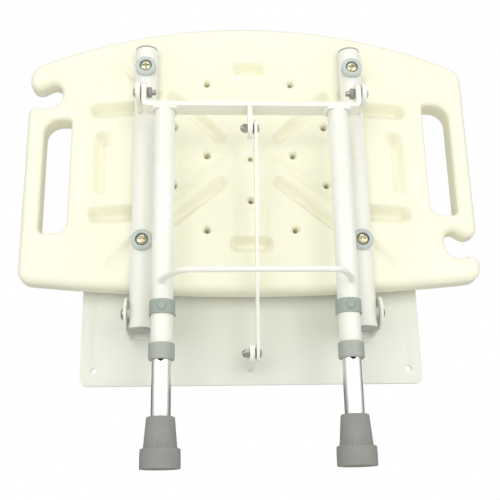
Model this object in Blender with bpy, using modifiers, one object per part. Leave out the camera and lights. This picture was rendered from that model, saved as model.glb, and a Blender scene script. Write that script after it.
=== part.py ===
"""Wall-mounted folding shower seat, stored upright against its wall plate.

Metres. The wall is the plane y = 0 and the seat hangs on its -Y side. X runs to the right as seen
from the room, Z is up, and z = 0 is the height of the seat's two wall pivots, at the middle of the
wall plate. The seat swings down about those pivots while the leg frame, held by the centre link,
stays upright.
"""
import math

import bmesh
import bpy
from mathutils import Matrix, Vector

# General
GAP = 0.0003                    # clearance between pieces that touch
OVERSHOOT = 0.002               # how far a cutter passes the surface it cuts
MERGE = 0.00001                 # vertices nearer than this are welded
ARC_STEPS = 4                   # segments in a rounded corner
TUBE_STEPS = 24                 # sides of a tube
BOLT_STEPS = 16                 # sides of a bolt, a washer or a hole

# Wall plate
PLATE_WIDTH = 0.368
PLATE_HEIGHT = 0.136
PLATE_THICK = 0.004
PLATE_CORNER = 0.008
WALL_HOLE_INSET = (0.0145, 0.016)   # from the plate's side and from its top or bottom edge
WALL_HOLE_DIA = 0.0065

# Linkage, in the stored position
PIVOT_DEPTH = 0.0455            # wall to the seat pivots
ARM_FORWARD = 0.043             # seat pivot to leg pivot, away from the wall
ARM_UP = 0.2345                 # seat pivot to leg pivot, upwards
LINK_DROP = 0.042               # seat pivot down to the link's lower pivot

# Seat tubes
TUBE_SPACING = 0.234
TUBE_DIA = 0.0254
TUBE_WALL = 0.0015
TUBE_BELOW = 0.016              # below the pivot
TUBE_ABOVE = 0.310              # above the pivot
PLUG_FLANGE = 0.002
PLUG_SPIGOT = 0.006

# Wall brackets and their pivots
EAR_THICK = 0.0025
EAR_RADIUS = 0.017
EAR_BASE = 0.036                # height of the bracket at the plate
BRACKET_BEND = 0.0045
BUSH_FLANGE = 0.0008
BUSH_FLANGE_DIA = 0.016
BUSH_DIA = 0.012
BUSH_DEPTH = 0.005
WALL_BOLT_DIA = 0.008
WALL_BOLT_HEAD = (0.0125, 0.0042)   # diameter and height
WALL_NUT = (0.013, 0.007)           # across flats and height
BOLT_END = 0.002                    # thread past the nut

# Leg pivots on the seat tubes
TAB_THICK = 0.005
TAB_OFFSET = 0.0024             # tube axis to the tab's inner face
TAB_RADIUS = 0.012
LEG_BOLT_DIA = 0.006
LEG_BOLT_HEAD = (0.0104, 0.0030)
LEG_NUT = (0.010, 0.005)
LEG_WASHER = (0.013, 0.0012)
LEG_BOLT_END = 0.0045

# Leg frame
CROSSBAR_DEPTH = 0.0222
CROSSBAR_THICK = 0.005
CROSSBAR_BELOW = 0.0155         # leg pivot down to the bar's upper face
CROSSBAR_BEND = 0.007
LEG_SPACING = 0.186
LEG_DIA = 0.0222
LEG_WALL = 0.0012
LEG_TUBE_LENGTH = 0.2672
HANDLE_DIA = 0.006
HANDLE_ABOVE_END = 0.0750       # leg tube's lower end up to the handle
HANDLE_REACH = 0.0367           # leg front to the grip
HANDLE_ROOTS = (-0.0932, 0.0960)    # where its two ends meet the legs
HANDLE_CORNERS = (-0.0785, 0.0840)  # where its two bends lie at the grip
HANDLE_BEND = 0.014

# Centre link
LINK_THICK = 0.003
LINK_WIDTH = 0.018
LINK_TAB_THICK = 0.005
LINK_BRACKET_RADIUS = 0.010
LINK_BRACKET_BASE = 0.024
LINK_BOLT_DIA = 0.005
LINK_BOLT_HEAD = (0.009, 0.0024)
LINK_WASHER = (0.011, 0.0014)
LINK_NUT = (0.0085, 0.0045)     # across flats and height of the hexagon
LINK_NUT_DOME = 0.0030          # height of the dome on the hexagon

# Height adjustment
EXTENSION_DIA = 0.01905
EXTENSION_WALL = 0.0012
EXTENSION_SHOWN = 0.0980        # leg tube's lower end down to the extension's lower end
HOLE_PITCH = 0.0254
HOLE_COUNT = 7
HOLES_BELOW = 2                 # holes below the pin at this setting
HOLE_MARGIN = 0.0145            # top hole to the extension's upper end
PIN_ABOVE_END = 0.0490          # leg tube's lower end up to the pin
PIN_DIA = 0.006
PIN_LENGTH = 0.0082             # past the clip's inner face
CLIP_HEIGHT = 0.0145
CLIP_WALL = 0.0018
CLIP_ARM = 0.006
CLIP_BOSS_DIA = 0.0096
CLIP_BOSS_OUT = 0.0020
BUSH_HEIGHT = 0.0163
BUSH_WALL = 0.0016
BUSH_LIP = 0.0027
BUSH_ROUND = 0.0012             # round off its lower edge
BUSH_CHAMFER = 0.0005           # off its upper edge

# Rubber tips
TIP_HEIGHT = 0.0482
TIP_FLOOR = 0.0052
TIP_NECK_DIA = 0.0276
TIP_NECK_BOTTOM_DIA = 0.0326
TIP_FLANGE_DIA = 0.0388
TIP_FLANGE_HEIGHT = 0.0186
TIP_ROUND = 0.0013              # round off the flange's two edges
TIP_EDGE = 0.0010               # chamfer round the top
TIP_NECK_FOOT = 0.0008          # flange top up to where the neck starts
TIP_WASHER_THICK = 0.0015

# Seat board
BOARD_WIDTH = 0.500
BOARD_LENGTH = 0.324
BOARD_THICK = 0.030
BOARD_REAR = 0.0255             # pivot up to the middle of the rear edge
BOARD_SET_BACK = 0.007          # tube axis back to the board's underside
BOARD_EDGE = 0.009
BOARD_FRONT_ARC = 0.595
BOARD_REAR_ARC = 2.35
BOARD_FRONT_CORNER = 0.022
BOARD_REAR_CORNER = 0.0145
BOARD_SKIN = 0.0032
SLOT_IN = 0.0192                # board's side to the hand slot's outer side
SLOT_WIDTH = 0.0303
SLOT_LENGTH = 0.136
SLOT_FROM_REAR = (0.0675, 0.0880)       # on the left and on the right
NOTCH_FROM_REAR = (0.2180, 0.0385)      # on the left and on the right
NOTCH_REACH = 0.0370            # board's side to the notch's inner end
NOTCH_PAST_SIDE = 0.010         # how far the notch's cutter passes the board's side
RIM_FLARE = 0.0030
SLOT_CORNERS = (0.0136, 0.0060, 0.0182, 0.0045)     # inner rear, outer rear, outer front, inner front
NOTCH_POCKET = (0.0390, 0.0215, 0.010)       # length at its inner end, rear radius and front radius
NOTCH_LIP = (0.0125, 0.0245, 0.009)         # in from the side, up from the rear edge, and radius
NOTCH_RISE = 0.0110             # how far the lip rises from there to past the side

# Seat board's underside: each place is (out from the centre line, up from the rear edge)
DRAIN_DIA = 0.007
DRAIN_FUNNEL = (0.0125, 0.0060)     # diameter at the underside, and depth
DRAINS = ((0.0, 0.1045), (0.0483, 0.0700), (0.0483, 0.1585), (0.0483, 0.2485),
          (0.0848, 0.1225), (0.0848, 0.1935))
RECESS_DEPTH = 0.014
RECESS_DRAFT = 0.003
RECESS_FLARE = 0.002
CENTRE_RECESSES = ((0.0539, 0.0196), (0.2685, 0.0170))      # up from the rear edge, and width
CENTRE_RECESS_SPAN = 0.029
SIDE_RECESSES = ((0.0891, 0.0200), (0.2165, 0.0190))
SIDE_RECESS_IN = 0.079          # board's side to the outer end's centre
KEYHOLE_HEAD = (0.0855, 0.1765, 0.012)      # in from the board's side, up from the rear edge, radius
KEYHOLE_STEM = (0.083, 0.122, 0.172, 0.013)     # in from the board's side, its two ends, and width
KEYHOLE_STEM_DEPTH = 0.0084
GROOVE_DEPTH = 0.009
GROOVE_DRAFT = 0.0025
GROOVE_FLARE = 0.0015
GROOVE_WIDTH = 0.0145
UPPER_GROOVE = ((0.0310, 0.1775), (0.0865, 0.2300))
LOWER_GROOVE = ((0.0300, 0.1262), (0.0900, 0.0758))
GROOVE_TAIL = (0.146, 0.0325)   # where the lower groove's shallow tail ends
TAIL_DEPTH = 0.002
TROUGH = ((0.0290, 0.1340), (0.0850, 0.0880), (0.0850, 0.1130), (0.0345, 0.1480))
TROUGH_DEPTH = 0.0024
TROUGH_CORNER = 0.004
PANEL = (0.0167, 0.0645, 0.0950, 0.004)     # half width, lower and upper edge, corner radius
PANEL_DEPTH = 0.0006
BLOW_HOLE_UP = 0.1533
BLOW_HOLE_DIA = 0.0055
BLOW_PLUG_DEPTH = 0.006
BLOW_PLUG_RECESS = 0.0006
BLOW_PLUG_DIMPLE = (0.0024, 0.0020)         # diameter and depth

# Screws that hold the board to the tubes
SCREW_FROM_REAR = (0.0516, 0.2585)
SCREW_DIA = 0.005
SCREW_HEAD = (0.011, 0.0030)
SCREW_IN_BOARD = 0.020
SCREW_CROSS = (0.0012, 0.0060, 0.0015)      # width, length and depth of the recess
BOSS_RADIUS = 0.006
CUP_DIA = 0.0236
CUP_HEIGHT = 0.0045
CUP_FLOOR = 0.0008
CUP_WRAP = 0.005                # how far the cup reaches round the tube
CUP_ROUND = 0.001
CUP_WELL_GAP = 0.001            # round the screw's head

# Derived places
UNDERSIDE_Y = -(PIVOT_DEPTH - BOARD_SET_BACK)
BOARD_FACE_Y = UNDERSIDE_Y + BOARD_THICK
SEAT_PIVOT = Vector((0, -PIVOT_DEPTH, 0))
LEG_PIVOT = SEAT_PIVOT + Vector((0, -ARM_FORWARD, ARM_UP))
LINK_LOWER = SEAT_PIVOT - Vector((0, 0, LINK_DROP))
LINK_UPPER = LEG_PIVOT - Vector((0, 0, LINK_DROP))
TUBE_X = TUBE_SPACING / 2
LEG_X = LEG_SPACING / 2
TUBE_RADIUS = TUBE_DIA / 2
LEG_RADIUS = LEG_DIA / 2
EXTENSION_RADIUS = EXTENSION_DIA / 2
TAB_INNER_X = TUBE_X + TAB_OFFSET
BAR_HALF = TAB_INNER_X - LEG_WASHER[1] - 2 * GAP
BAR_TOP = LEG_PIVOT.z - CROSSBAR_BELOW
BAR_BOTTOM = BAR_TOP - CROSSBAR_THICK
LEG_TOP = BAR_BOTTOM - GAP
LEG_END = LEG_TOP - LEG_TUBE_LENGTH
PIN_Z = LEG_END + PIN_ABOVE_END
EXTENSION_END = LEG_END - EXTENSION_SHOWN
EAR_INNER = TUBE_RADIUS + BUSH_FLANGE + 3 * GAP     # tube axis to a bracket ear's inner face

SIDES = {"left": -1, "right": 1}


def collection(name, parent):
    made = bpy.data.collections.new(name)
    parent.children.link(made)
    return made


def clear_scene():
    for obj in list(bpy.data.objects):
        bpy.data.objects.remove(obj, do_unlink=True)


clear_scene()
PIECES = collection("folding_shower_seat", bpy.context.scene.collection)
TOOLS = collection("cutters", bpy.context.scene.collection)
BOARD_CUTS = collection("board_cuts", TOOLS)
CAVITY_KEEPS = collection("cavity_keeps", TOOLS)


def material(name, color, roughness, metallic=0.0):
    made = bpy.data.materials.new(name)
    made.use_nodes = True
    shader = made.node_tree.nodes["Principled BSDF"]
    shader.inputs["Base Color"].default_value = (*color, 1.0)
    shader.inputs["Roughness"].default_value = roughness
    shader.inputs["Metallic"].default_value = metallic
    return made


CREAM = material("cream_plastic", (0.86, 0.82, 0.70), 0.45)
WHITE = material("white_powder_coat", (0.88, 0.88, 0.86), 0.35)
PLATE_WHITE = material("plate_powder_coat", (0.80, 0.80, 0.77), 0.45)
GREY = material("grey_plastic", (0.33, 0.34, 0.33), 0.5)
CLIP = material("clip_plastic", (0.30, 0.38, 0.38), 0.45)
RUBBER = material("grey_rubber", (0.32, 0.33, 0.31), 0.75)
ALUMINIUM = material("aluminium", (0.82, 0.82, 0.82), 0.25, 1.0)
STEEL = material("zinc_steel", (0.60, 0.60, 0.58), 0.3, 1.0)
BRASS = material("brass", (0.75, 0.58, 0.25), 0.3, 1.0)
NYLON = material("nylon", (0.80, 0.79, 0.74), 0.5)


# Outlines


def arc(center, radius, start, end, count):
    """Points on a circle from one angle to another, in degrees."""
    angles = [math.radians(start + (end - start) * i / count) for i in range(count + 1)]
    return [(center[0] + radius * math.cos(a), center[1] + radius * math.sin(a)) for a in angles]


def rounded(corners, steps=ARC_STEPS):
    """A closed outline through corners (x, y, radius), each rounded by its radius."""
    points = []
    for index, (x, y, radius) in enumerate(corners):
        here = Vector((x, y))
        if not radius:
            points.append((x, y))
            continue
        before = (Vector(corners[index - 1][:2]) - here).normalized()
        after = (Vector(corners[(index + 1) % len(corners)][:2]) - here).normalized()
        half = before.angle(after) / 2
        center = here + (before + after).normalized() * radius / math.sin(half)
        first = here + before * radius / math.tan(half) - center
        last = here + after * radius / math.tan(half) - center
        turn = math.atan2(first.x * last.y - first.y * last.x, first.dot(last))
        begin = math.atan2(first.y, first.x)
        points += arc(center, radius, math.degrees(begin), math.degrees(begin + turn), steps)
    return points


def grown(outline, distance):
    """The outline moved outwards by a distance, along its normals."""
    count = len(outline)
    area = sum(outline[i - 1][0] * outline[i][1] - outline[i][0] * outline[i - 1][1] for i in range(count))
    side = 1 if area > 0 else -1
    points = []
    for index in range(count):
        here = Vector(outline[index])
        incoming = (here - Vector(outline[index - 1])).normalized()
        outgoing = (Vector(outline[(index + 1) % count]) - here).normalized()
        first = Vector((incoming.y, -incoming.x)) * side
        second = Vector((outgoing.y, -outgoing.x)) * side
        normal = (first + second).normalized()
        moved = here + normal * distance / max(normal.dot(first), 0.5)
        points.append((moved.x, moved.y))
    return points


def capsule(start, end, width):
    """A long outline with round ends, between two centres."""
    start, end = Vector(start), Vector(end)
    heading = math.degrees(math.atan2(end.y - start.y, end.x - start.x))
    return (arc(end, width / 2, heading - 90, heading + 90, ARC_STEPS)
            + arc(start, width / 2, heading + 90, heading + 270, ARC_STEPS))


def circle(center, radius, count=10):
    return arc(center, radius, 0, 360 * (count - 1) / count, count - 1)


def tongue(base, half, center, radius):
    """An ear seen from the side: a base edge and the two tangents to a round tip.

    base is the depth of the base edge and half is half its height, both in the plane of the outline.
    """
    away = Vector((base - center[0], half))
    lean = math.degrees(math.atan2(away.y, away.x)) + math.degrees(math.acos(radius / away.length))
    tip = arc(center, radius, lean, 360 - lean, 3 * ARC_STEPS)
    return [(base, center[1] + half)] + tip + [(base, center[1] - half)]


# Solids


def place(obj, name, look, parent=None):
    obj.name = name
    obj.data.name = name
    obj.data.materials.clear()
    obj.data.materials.append(look)
    if parent:
        obj.parent = parent
        obj.matrix_parent_inverse = Matrix.Translation(-Vector(parent["at"]))
    return obj


def add_mesh(mesh, name="piece"):
    obj = bpy.data.objects.new(name, mesh)
    PIECES.objects.link(obj)
    return obj


def as_mesh(obj):
    """The object's evaluated shape as a welded mesh object in the same place."""
    matrix = obj.matrix_basis.copy()
    depsgraph = bpy.context.evaluated_depsgraph_get()
    mesh = bpy.data.meshes.new_from_object(obj.evaluated_get(depsgraph))
    shape = bmesh.new()
    shape.from_mesh(mesh)
    bmesh.ops.remove_doubles(shape, verts=shape.verts, dist=MERGE)
    bmesh.ops.recalc_face_normals(shape, faces=shape.faces)
    shape.to_mesh(mesh)
    shape.free()
    bpy.data.objects.remove(obj, do_unlink=True)
    made = add_mesh(mesh)
    made.matrix_basis = matrix
    return made


def smooth(obj, degrees=35):
    obj.data.shade_smooth()
    obj.data.set_sharp_from_angle(angle=math.radians(degrees))
    return obj


def slab(outline, thickness, edge=0.0, strips=3):
    """A flat outline in local XY, extruded along local Z about its middle, with rounded edges."""
    curve = bpy.data.curves.new("outline", "CURVE")
    curve.dimensions = "2D"
    curve.fill_mode = "BOTH"
    curve.extrude = thickness / 2 - edge
    if edge:
        curve.bevel_depth = edge
        curve.bevel_resolution = strips
        curve.offset = -edge
    spline = curve.splines.new("POLY")
    spline.points.add(len(outline) - 1)
    for point, (x, y) in zip(spline.points, outline):
        point.co = (x, y, 0, 1)
    spline.use_cyclic_u = True
    obj = bpy.data.objects.new("outline", curve)
    PIECES.objects.link(obj)
    return obj


def across(outline, thickness, center_x, edge=0.0):
    """An outline given in (y, z), extruded along X about center_x."""
    obj = slab(outline, thickness, edge)
    obj.rotation_euler = (math.pi / 2, 0, math.pi / 2)
    obj.location = (center_x, 0, 0)
    return as_mesh(obj)


def deep(outline, thickness, center_y, edge=0.0, strips=3):
    """An outline given in (x, z), extruded along Y about center_y."""
    obj = slab(outline, thickness, edge, strips)
    obj.rotation_euler = (math.pi / 2, 0, 0)
    obj.location = (0, center_y, 0)
    return as_mesh(obj)


def upright(outline, thickness, center_z, edge=0.0):
    """An outline given in (x, y), extruded along Z about center_z."""
    obj = slab(outline, thickness, edge)
    obj.location = (0, 0, center_z)
    return as_mesh(obj)


def turned(profile, closed, steps=TUBE_STEPS):
    """A profile of (radius, height) turned about local Z with a Screw modifier."""
    mesh = bpy.data.meshes.new("profile")
    shape = bmesh.new()
    verts = [shape.verts.new((radius, 0, height)) for radius, height in profile]
    for first, second in zip(verts, verts[1:]):
        shape.edges.new((first, second))
    if closed:
        shape.edges.new((verts[-1], verts[0]))
    shape.to_mesh(mesh)
    shape.free()
    obj = add_mesh(mesh)
    screw = obj.modifiers.new("Turn", "SCREW")
    screw.axis = "Z"
    screw.angle = math.tau
    screw.steps = steps
    screw.render_steps = steps
    screw.use_merge_vertices = True
    screw.merge_threshold = MERGE
    screw.use_smooth_shade = False
    return obj


def pipe(outer, inner, bottom, top, steps=TUBE_STEPS):
    """A hollow round tube about local Z."""
    return turned([(outer, top), (outer, bottom), (inner, bottom), (inner, top)], True, steps)


def point_along(obj, axis):
    """Turns a piece made along Z so that its upper end points along +X, -X, +Y or -Y."""
    turns = {"+X": (0, math.pi / 2, 0), "-X": (0, -math.pi / 2, 0),
             "+Y": (-math.pi / 2, 0, 0), "-Y": (math.pi / 2, 0, 0), "+Z": (0, 0, 0)}
    obj.rotation_euler = turns[axis]
    return obj


def cylinder(radius, length, center, axis="+Z", sides=BOLT_STEPS):
    bpy.ops.mesh.primitive_cylinder_add(vertices=sides, radius=radius, depth=length)
    obj = bpy.context.object
    move_to(obj, PIECES)
    obj.location = center
    return point_along(obj, axis)


def box(size, center):
    bpy.ops.mesh.primitive_cube_add(size=1)
    obj = bpy.context.object
    move_to(obj, PIECES)
    obj.data.transform(Matrix.Diagonal((*size, 1)))
    obj.location = center
    return obj


def move_to(obj, target):
    for holder in list(obj.users_collection):
        holder.objects.unlink(obj)
    target.objects.link(obj)


def as_tool(obj, target=None):
    move_to(obj, target or TOOLS)
    obj.hide_render = True
    obj.display_type = "WIRE"
    return obj


def boolean(obj, tool, operation):
    modifier = obj.modifiers.new(operation.title(), "BOOLEAN")
    modifier.operation = operation
    modifier.solver = "EXACT"
    modifier.object = as_tool(tool)
    return obj


def cut(obj, *tools):
    for tool in tools:
        boolean(obj, tool, "DIFFERENCE")
    return obj


def join(obj, *tools):
    for tool in tools:
        boolean(obj, tool, "UNION")
    return obj


def keep_within(obj, tool):
    return boolean(obj, tool, "INTERSECT")


def cut_group(obj, group):
    modifier = obj.modifiers.new("Cut group", "BOOLEAN")
    modifier.operation = "DIFFERENCE"
    modifier.solver = "EXACT"
    modifier.operand_type = "COLLECTION"
    modifier.collection = group
    return obj


def soften(obj, width, segments=2, degrees=40):
    bevel = obj.modifiers.new("Round", "BEVEL")
    bevel.width = width
    bevel.segments = segments
    bevel.limit_method = "ANGLE"
    bevel.angle_limit = math.radians(degrees)
    return obj


def lofted(outline, levels):
    """A solid through one outline in (x, z), grown by its own amount at each depth y."""
    mesh = bpy.data.meshes.new("loft")
    shape = bmesh.new()
    rings = [[shape.verts.new((x, y, z)) for x, z in grown(outline, grow)] for y, grow in levels]
    for low, high in zip(rings, rings[1:]):
        for i in range(len(low)):
            shape.faces.new((low[i - 1], low[i], high[i], high[i - 1]))
    shape.faces.new(rings[0])
    shape.faces.new(rings[-1])
    bmesh.ops.recalc_face_normals(shape, faces=shape.faces)
    shape.to_mesh(mesh)
    shape.free()
    return add_mesh(mesh, "loft")


def anchor(name, at, parent=None):
    """An empty on a joint's axis, which carries the pieces that move there."""
    empty = bpy.data.objects.new(name, None)
    empty.empty_display_size = 0.03
    PIECES.objects.link(empty)
    empty.location = at
    empty["at"] = Vector(at)
    if parent:
        empty.parent = parent
        empty.matrix_parent_inverse = Matrix.Translation(-Vector(parent["at"]))
    return empty


WALL = None
SEAT = anchor("seat_axis", SEAT_PIVOT)
LEGS = anchor("leg_axis", LEG_PIVOT, SEAT)
LINK = anchor("link_axis", LINK_LOWER)


# Fasteners


def bolt(head, shank, length, look, name, at, axis, parent):
    """A domed bolt: its head's underside is at the given place and its shank runs along axis."""
    head_radius, head_height = head[0] / 2, head[1]
    rim = head_height * 0.35
    dome = [(head_radius * math.sin(a), -rim - (head_height - rim) * math.cos(a))
            for a in [math.radians(90 * i / 4) for i in range(5)]]
    tip = shank / 2 * 0.8
    profile = [(0, length), (tip, length), (shank / 2, length - shank / 2 + tip),
               (shank / 2, 0), (head_radius, 0)] + dome[::-1]
    obj = point_along(turned(profile, False, BOLT_STEPS), axis)
    obj.location = at
    return place(smooth_turned(obj), name, look, parent)


def smooth_turned(obj):
    obj.modifiers["Turn"].use_smooth_shade = True
    return obj


def hexagon(flats, height, bore, at, axis):
    """A hexagon nut blank with its bore, centred on a place."""
    nut = cylinder(flats / math.sqrt(3), height, at, axis, 6)
    return cut(soften(nut, flats * 0.04, 1, 80), cylinder(bore / 2 + GAP, height + OVERSHOOT, at, axis))


def washer(size, bore, center, axis, look, name, parent):
    half = size[1] / 2
    obj = point_along(pipe(size[0] / 2, bore / 2 + GAP, -half, half, BOLT_STEPS), axis)
    obj.location = center
    return place(smooth_turned(obj), name, look, parent)


# Wall pieces


def wall_plate():
    x, z = PLATE_WIDTH / 2, PLATE_HEIGHT / 2
    corners = [(-x, -z, PLATE_CORNER), (x, -z, PLATE_CORNER), (x, z, PLATE_CORNER), (-x, z, PLATE_CORNER)]
    plate = deep(rounded(corners), PLATE_THICK, -PLATE_THICK / 2)
    for side in (-1, 1):
        for level in (-1, 1):
            hole = ((x - WALL_HOLE_INSET[0]) * side, -PLATE_THICK / 2, (z - WALL_HOLE_INSET[1]) * level)
            cut(plate, cylinder(WALL_HOLE_DIA / 2, PLATE_THICK + 2 * OVERSHOOT, hole, "-Y"))
    place(plate, "wall_plate", PLATE_WHITE)


def pivot_bracket(name, side):
    """A folded channel on the plate, whose two ears hold the seat tube's lower end."""
    center_x = TUBE_X * side
    back = -PLATE_THICK - GAP
    front = -PIVOT_DEPTH - EAR_RADIUS
    inner, outer = EAR_INNER, EAR_INNER + EAR_THICK
    bend = BRACKET_BEND
    channel = rounded([(-outer, front, 0), (-outer, back, bend), (outer, back, bend), (outer, front, 0),
                       (inner, front, 0), (inner, back - EAR_THICK, bend - EAR_THICK),
                       (-inner, back - EAR_THICK, bend - EAR_THICK), (-inner, front, 0)])
    bracket = upright([(x + center_x, y) for x, y in channel], EAR_BASE, 0)
    shape = tongue(back + GAP, EAR_BASE / 2, (-PIVOT_DEPTH, 0), EAR_RADIUS)
    keep_within(bracket, across(shape, 2 * outer + OVERSHOOT, center_x))
    cut(bracket, cylinder(WALL_BOLT_DIA / 2 + GAP, 2 * outer + OVERSHOOT, (center_x, -PIVOT_DEPTH, 0), "+X"))
    place(bracket, name, WHITE)


def link_bracket():
    """The single ear on the plate that holds the link's lower end."""
    shape = tongue(-PLATE_THICK - GAP, LINK_BRACKET_BASE / 2, LINK_LOWER.yz, LINK_BRACKET_RADIUS)
    ear = across(shape, LINK_TAB_THICK, -LINK_TAB_THICK / 2)
    cut(ear, cylinder(LINK_BOLT_DIA / 2 + GAP, LINK_TAB_THICK + OVERSHOOT,
                      (-LINK_TAB_THICK / 2, *LINK_LOWER.yz), "+X"))
    place(ear, "link_bracket", WHITE)


def wall_pivot(name, side):
    """The bolt and nut through a bracket and its seat tube."""
    outer = EAR_INNER + EAR_THICK
    inward = "+X" if side < 0 else "-X"
    length = 2 * outer + 2 * GAP + WALL_NUT[1] + BOLT_END
    bolt(WALL_BOLT_HEAD, WALL_BOLT_DIA, length, STEEL, f"wall_pivot_bolt_{name}",
         ((TUBE_X + outer + GAP) * side, -PIVOT_DEPTH, 0), inward, WALL)
    nut_x = TUBE_X - outer - GAP - WALL_NUT[1] / 2
    nut = hexagon(WALL_NUT[0], WALL_NUT[1], WALL_BOLT_DIA, (nut_x * side, -PIVOT_DEPTH, 0), "+X")
    place(nut, f"wall_pivot_nut_{name}", STEEL)


# Seat pieces


def seat_tube(name, side):
    tube = pipe(TUBE_RADIUS, TUBE_RADIUS - TUBE_WALL, -TUBE_BELOW, TUBE_ABOVE)
    tube.location = (TUBE_X * side, -PIVOT_DEPTH, 0)
    reach = TUBE_DIA + 2 * OVERSHOOT
    cut(tube, cylinder(BUSH_DIA / 2 + GAP, reach, tube.location, "+X"))
    for height in SCREW_FROM_REAR:
        cut(tube, cylinder(SCREW_DIA / 2 + GAP, reach, (*tube.location.xy, BOARD_REAR + height), "+Y"))
    place(smooth_turned(tube), f"seat_tube_{name}", WHITE, SEAT)


def tube_plug(name, side, level):
    """A plastic end plug: a flange as wide as the tube and a spigot inside it."""
    inner = TUBE_RADIUS - TUBE_WALL - GAP
    rim = PLUG_FLANGE * 0.4
    profile = [(0, PLUG_SPIGOT), (inner, PLUG_SPIGOT), (inner, -GAP), (TUBE_RADIUS, -GAP),
               (TUBE_RADIUS, -GAP - PLUG_FLANGE + rim), (TUBE_RADIUS - rim, -GAP - PLUG_FLANGE),
               (0, -GAP - PLUG_FLANGE)]
    plug = turned(profile, False)
    height = -TUBE_BELOW if level == "lower" else TUBE_ABOVE
    if level == "upper":
        plug.rotation_euler = (math.pi, 0, 0)
    plug.location = (TUBE_X * side, -PIVOT_DEPTH, height)
    place(smooth_turned(plug), f"tube_plug_{level}_{name}", GREY, SEAT)


def pivot_bush(name, side, face, label):
    """A flanged nylon bush pressed into one wall of the seat tube."""
    bore = WALL_BOLT_DIA / 2 + GAP
    seat = TUBE_RADIUS + GAP
    sleeve = BUSH_DIA / 2
    profile = [(bore, seat + BUSH_FLANGE), (BUSH_FLANGE_DIA / 2, seat + BUSH_FLANGE),
               (BUSH_FLANGE_DIA / 2, seat), (sleeve, seat), (sleeve, seat - BUSH_DEPTH),
               (bore, seat - BUSH_DEPTH)]
    bush = point_along(turned(profile, True, BOLT_STEPS), "+X" if face > 0 else "-X")
    bush.location = (TUBE_X * side, -PIVOT_DEPTH, 0)
    place(smooth_turned(bush), f"pivot_bush_{label}_{name}", NYLON, SEAT)


def pivot_tab(name, side):
    """The plate welded to the seat tube that carries the leg frame."""
    y, z = LEG_PIVOT.yz
    root = -PIVOT_DEPTH - TUBE_RADIUS / 2
    outline = arc((y, z), TAB_RADIUS, 90, 270, 2 * ARC_STEPS)
    outline += [(root, z - TAB_RADIUS), (root, z + TAB_RADIUS)]
    center_x = (TAB_INNER_X + TAB_THICK / 2) * side
    tab = across(outline, TAB_THICK, center_x)
    on_tube = (TUBE_X * side, -PIVOT_DEPTH, ARM_UP)
    cut(tab, cylinder(TUBE_RADIUS + GAP, 2 * ARM_UP, on_tube, "+Z", TUBE_STEPS),
        cylinder(LEG_BOLT_DIA / 2 + GAP, TAB_THICK + OVERSHOOT, (center_x, y, z), "+X"))
    place(tab, f"pivot_tab_{name}", WHITE, SEAT)


def cup_washer(name, side, height, level):
    """A plastic cup that saddles the tube and holds the screw's head."""
    front = -PIVOT_DEPTH - TUBE_RADIUS - CUP_HEIGHT
    back = -PIVOT_DEPTH - TUBE_RADIUS + CUP_WRAP
    x = TUBE_X * side
    cup = cylinder(CUP_DIA / 2, back - front, (x, (front + back) / 2, height), "+Y", TUBE_STEPS)
    soften(cup, CUP_ROUND, 1, 60)
    well = SCREW_HEAD[0] / 2 + CUP_WELL_GAP
    floor = -PIVOT_DEPTH - TUBE_RADIUS - GAP - CUP_FLOOR
    saddle = cylinder(TUBE_RADIUS + GAP, CUP_DIA + OVERSHOOT, (x, -PIVOT_DEPTH, height), "+Z", TUBE_STEPS)
    hole = cylinder(SCREW_DIA / 2 + GAP, back - front + OVERSHOOT, (x, (front + back) / 2, height), "+Y")
    bowl = cylinder(well, floor - front + OVERSHOOT, (x, (floor + front - OVERSHOOT) / 2, height), "+Y")
    cut(cup, saddle, hole, bowl)
    place(cup, f"cup_washer_{level}_{name}", GREY, SEAT)


def seat_screw(name, side, height, level):
    """A cross-recessed screw through the tube into the board."""
    under_head = -PIVOT_DEPTH - TUBE_RADIUS - 2 * GAP - CUP_FLOOR
    groove = -PIVOT_DEPTH + TUBE_RADIUS + GAP
    length = groove + SCREW_IN_BOARD - under_head - GAP
    at = Vector((TUBE_X * side, under_head, height))
    screw = bolt(SCREW_HEAD, SCREW_DIA, length, BRASS, f"seat_screw_{level}_{name}", at, "+Y", SEAT)
    slot_at = at - Vector((0, SCREW_HEAD[1], 0))
    width, long, depth = SCREW_CROSS
    for size in ((width, 2 * depth, long), (long, 2 * depth, width)):
        cut(screw, box(size, slot_at))


def leg_pivot(name, side):
    """The bolt, washer and nut where the leg frame hangs on a seat tube's tab."""
    y, z = LEG_PIVOT.yz
    head_x = TAB_INNER_X + TAB_THICK + GAP
    ear_inner = BAR_HALF - CROSSBAR_THICK
    length = head_x - ear_inner + GAP + LEG_NUT[1] + LEG_BOLT_END
    inward = "+X" if side < 0 else "-X"
    bolt(LEG_BOLT_HEAD, LEG_BOLT_DIA, length, STEEL, f"leg_pivot_bolt_{name}",
         (head_x * side, y, z), inward, LEGS)
    washer(LEG_WASHER, LEG_BOLT_DIA, ((BAR_HALF + GAP + LEG_WASHER[1] / 2) * side, y, z), "+X", NYLON,
           f"leg_pivot_washer_{name}", LEGS)
    nut_x = ear_inner - GAP - LEG_NUT[1] / 2
    nut = hexagon(LEG_NUT[0], LEG_NUT[1], LEG_BOLT_DIA, (nut_x * side, y, z), "+X")
    place(nut, f"leg_pivot_nut_{name}", STEEL, LEGS)


# Seat board


def from_rear(distance):
    return BOARD_REAR + distance


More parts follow.
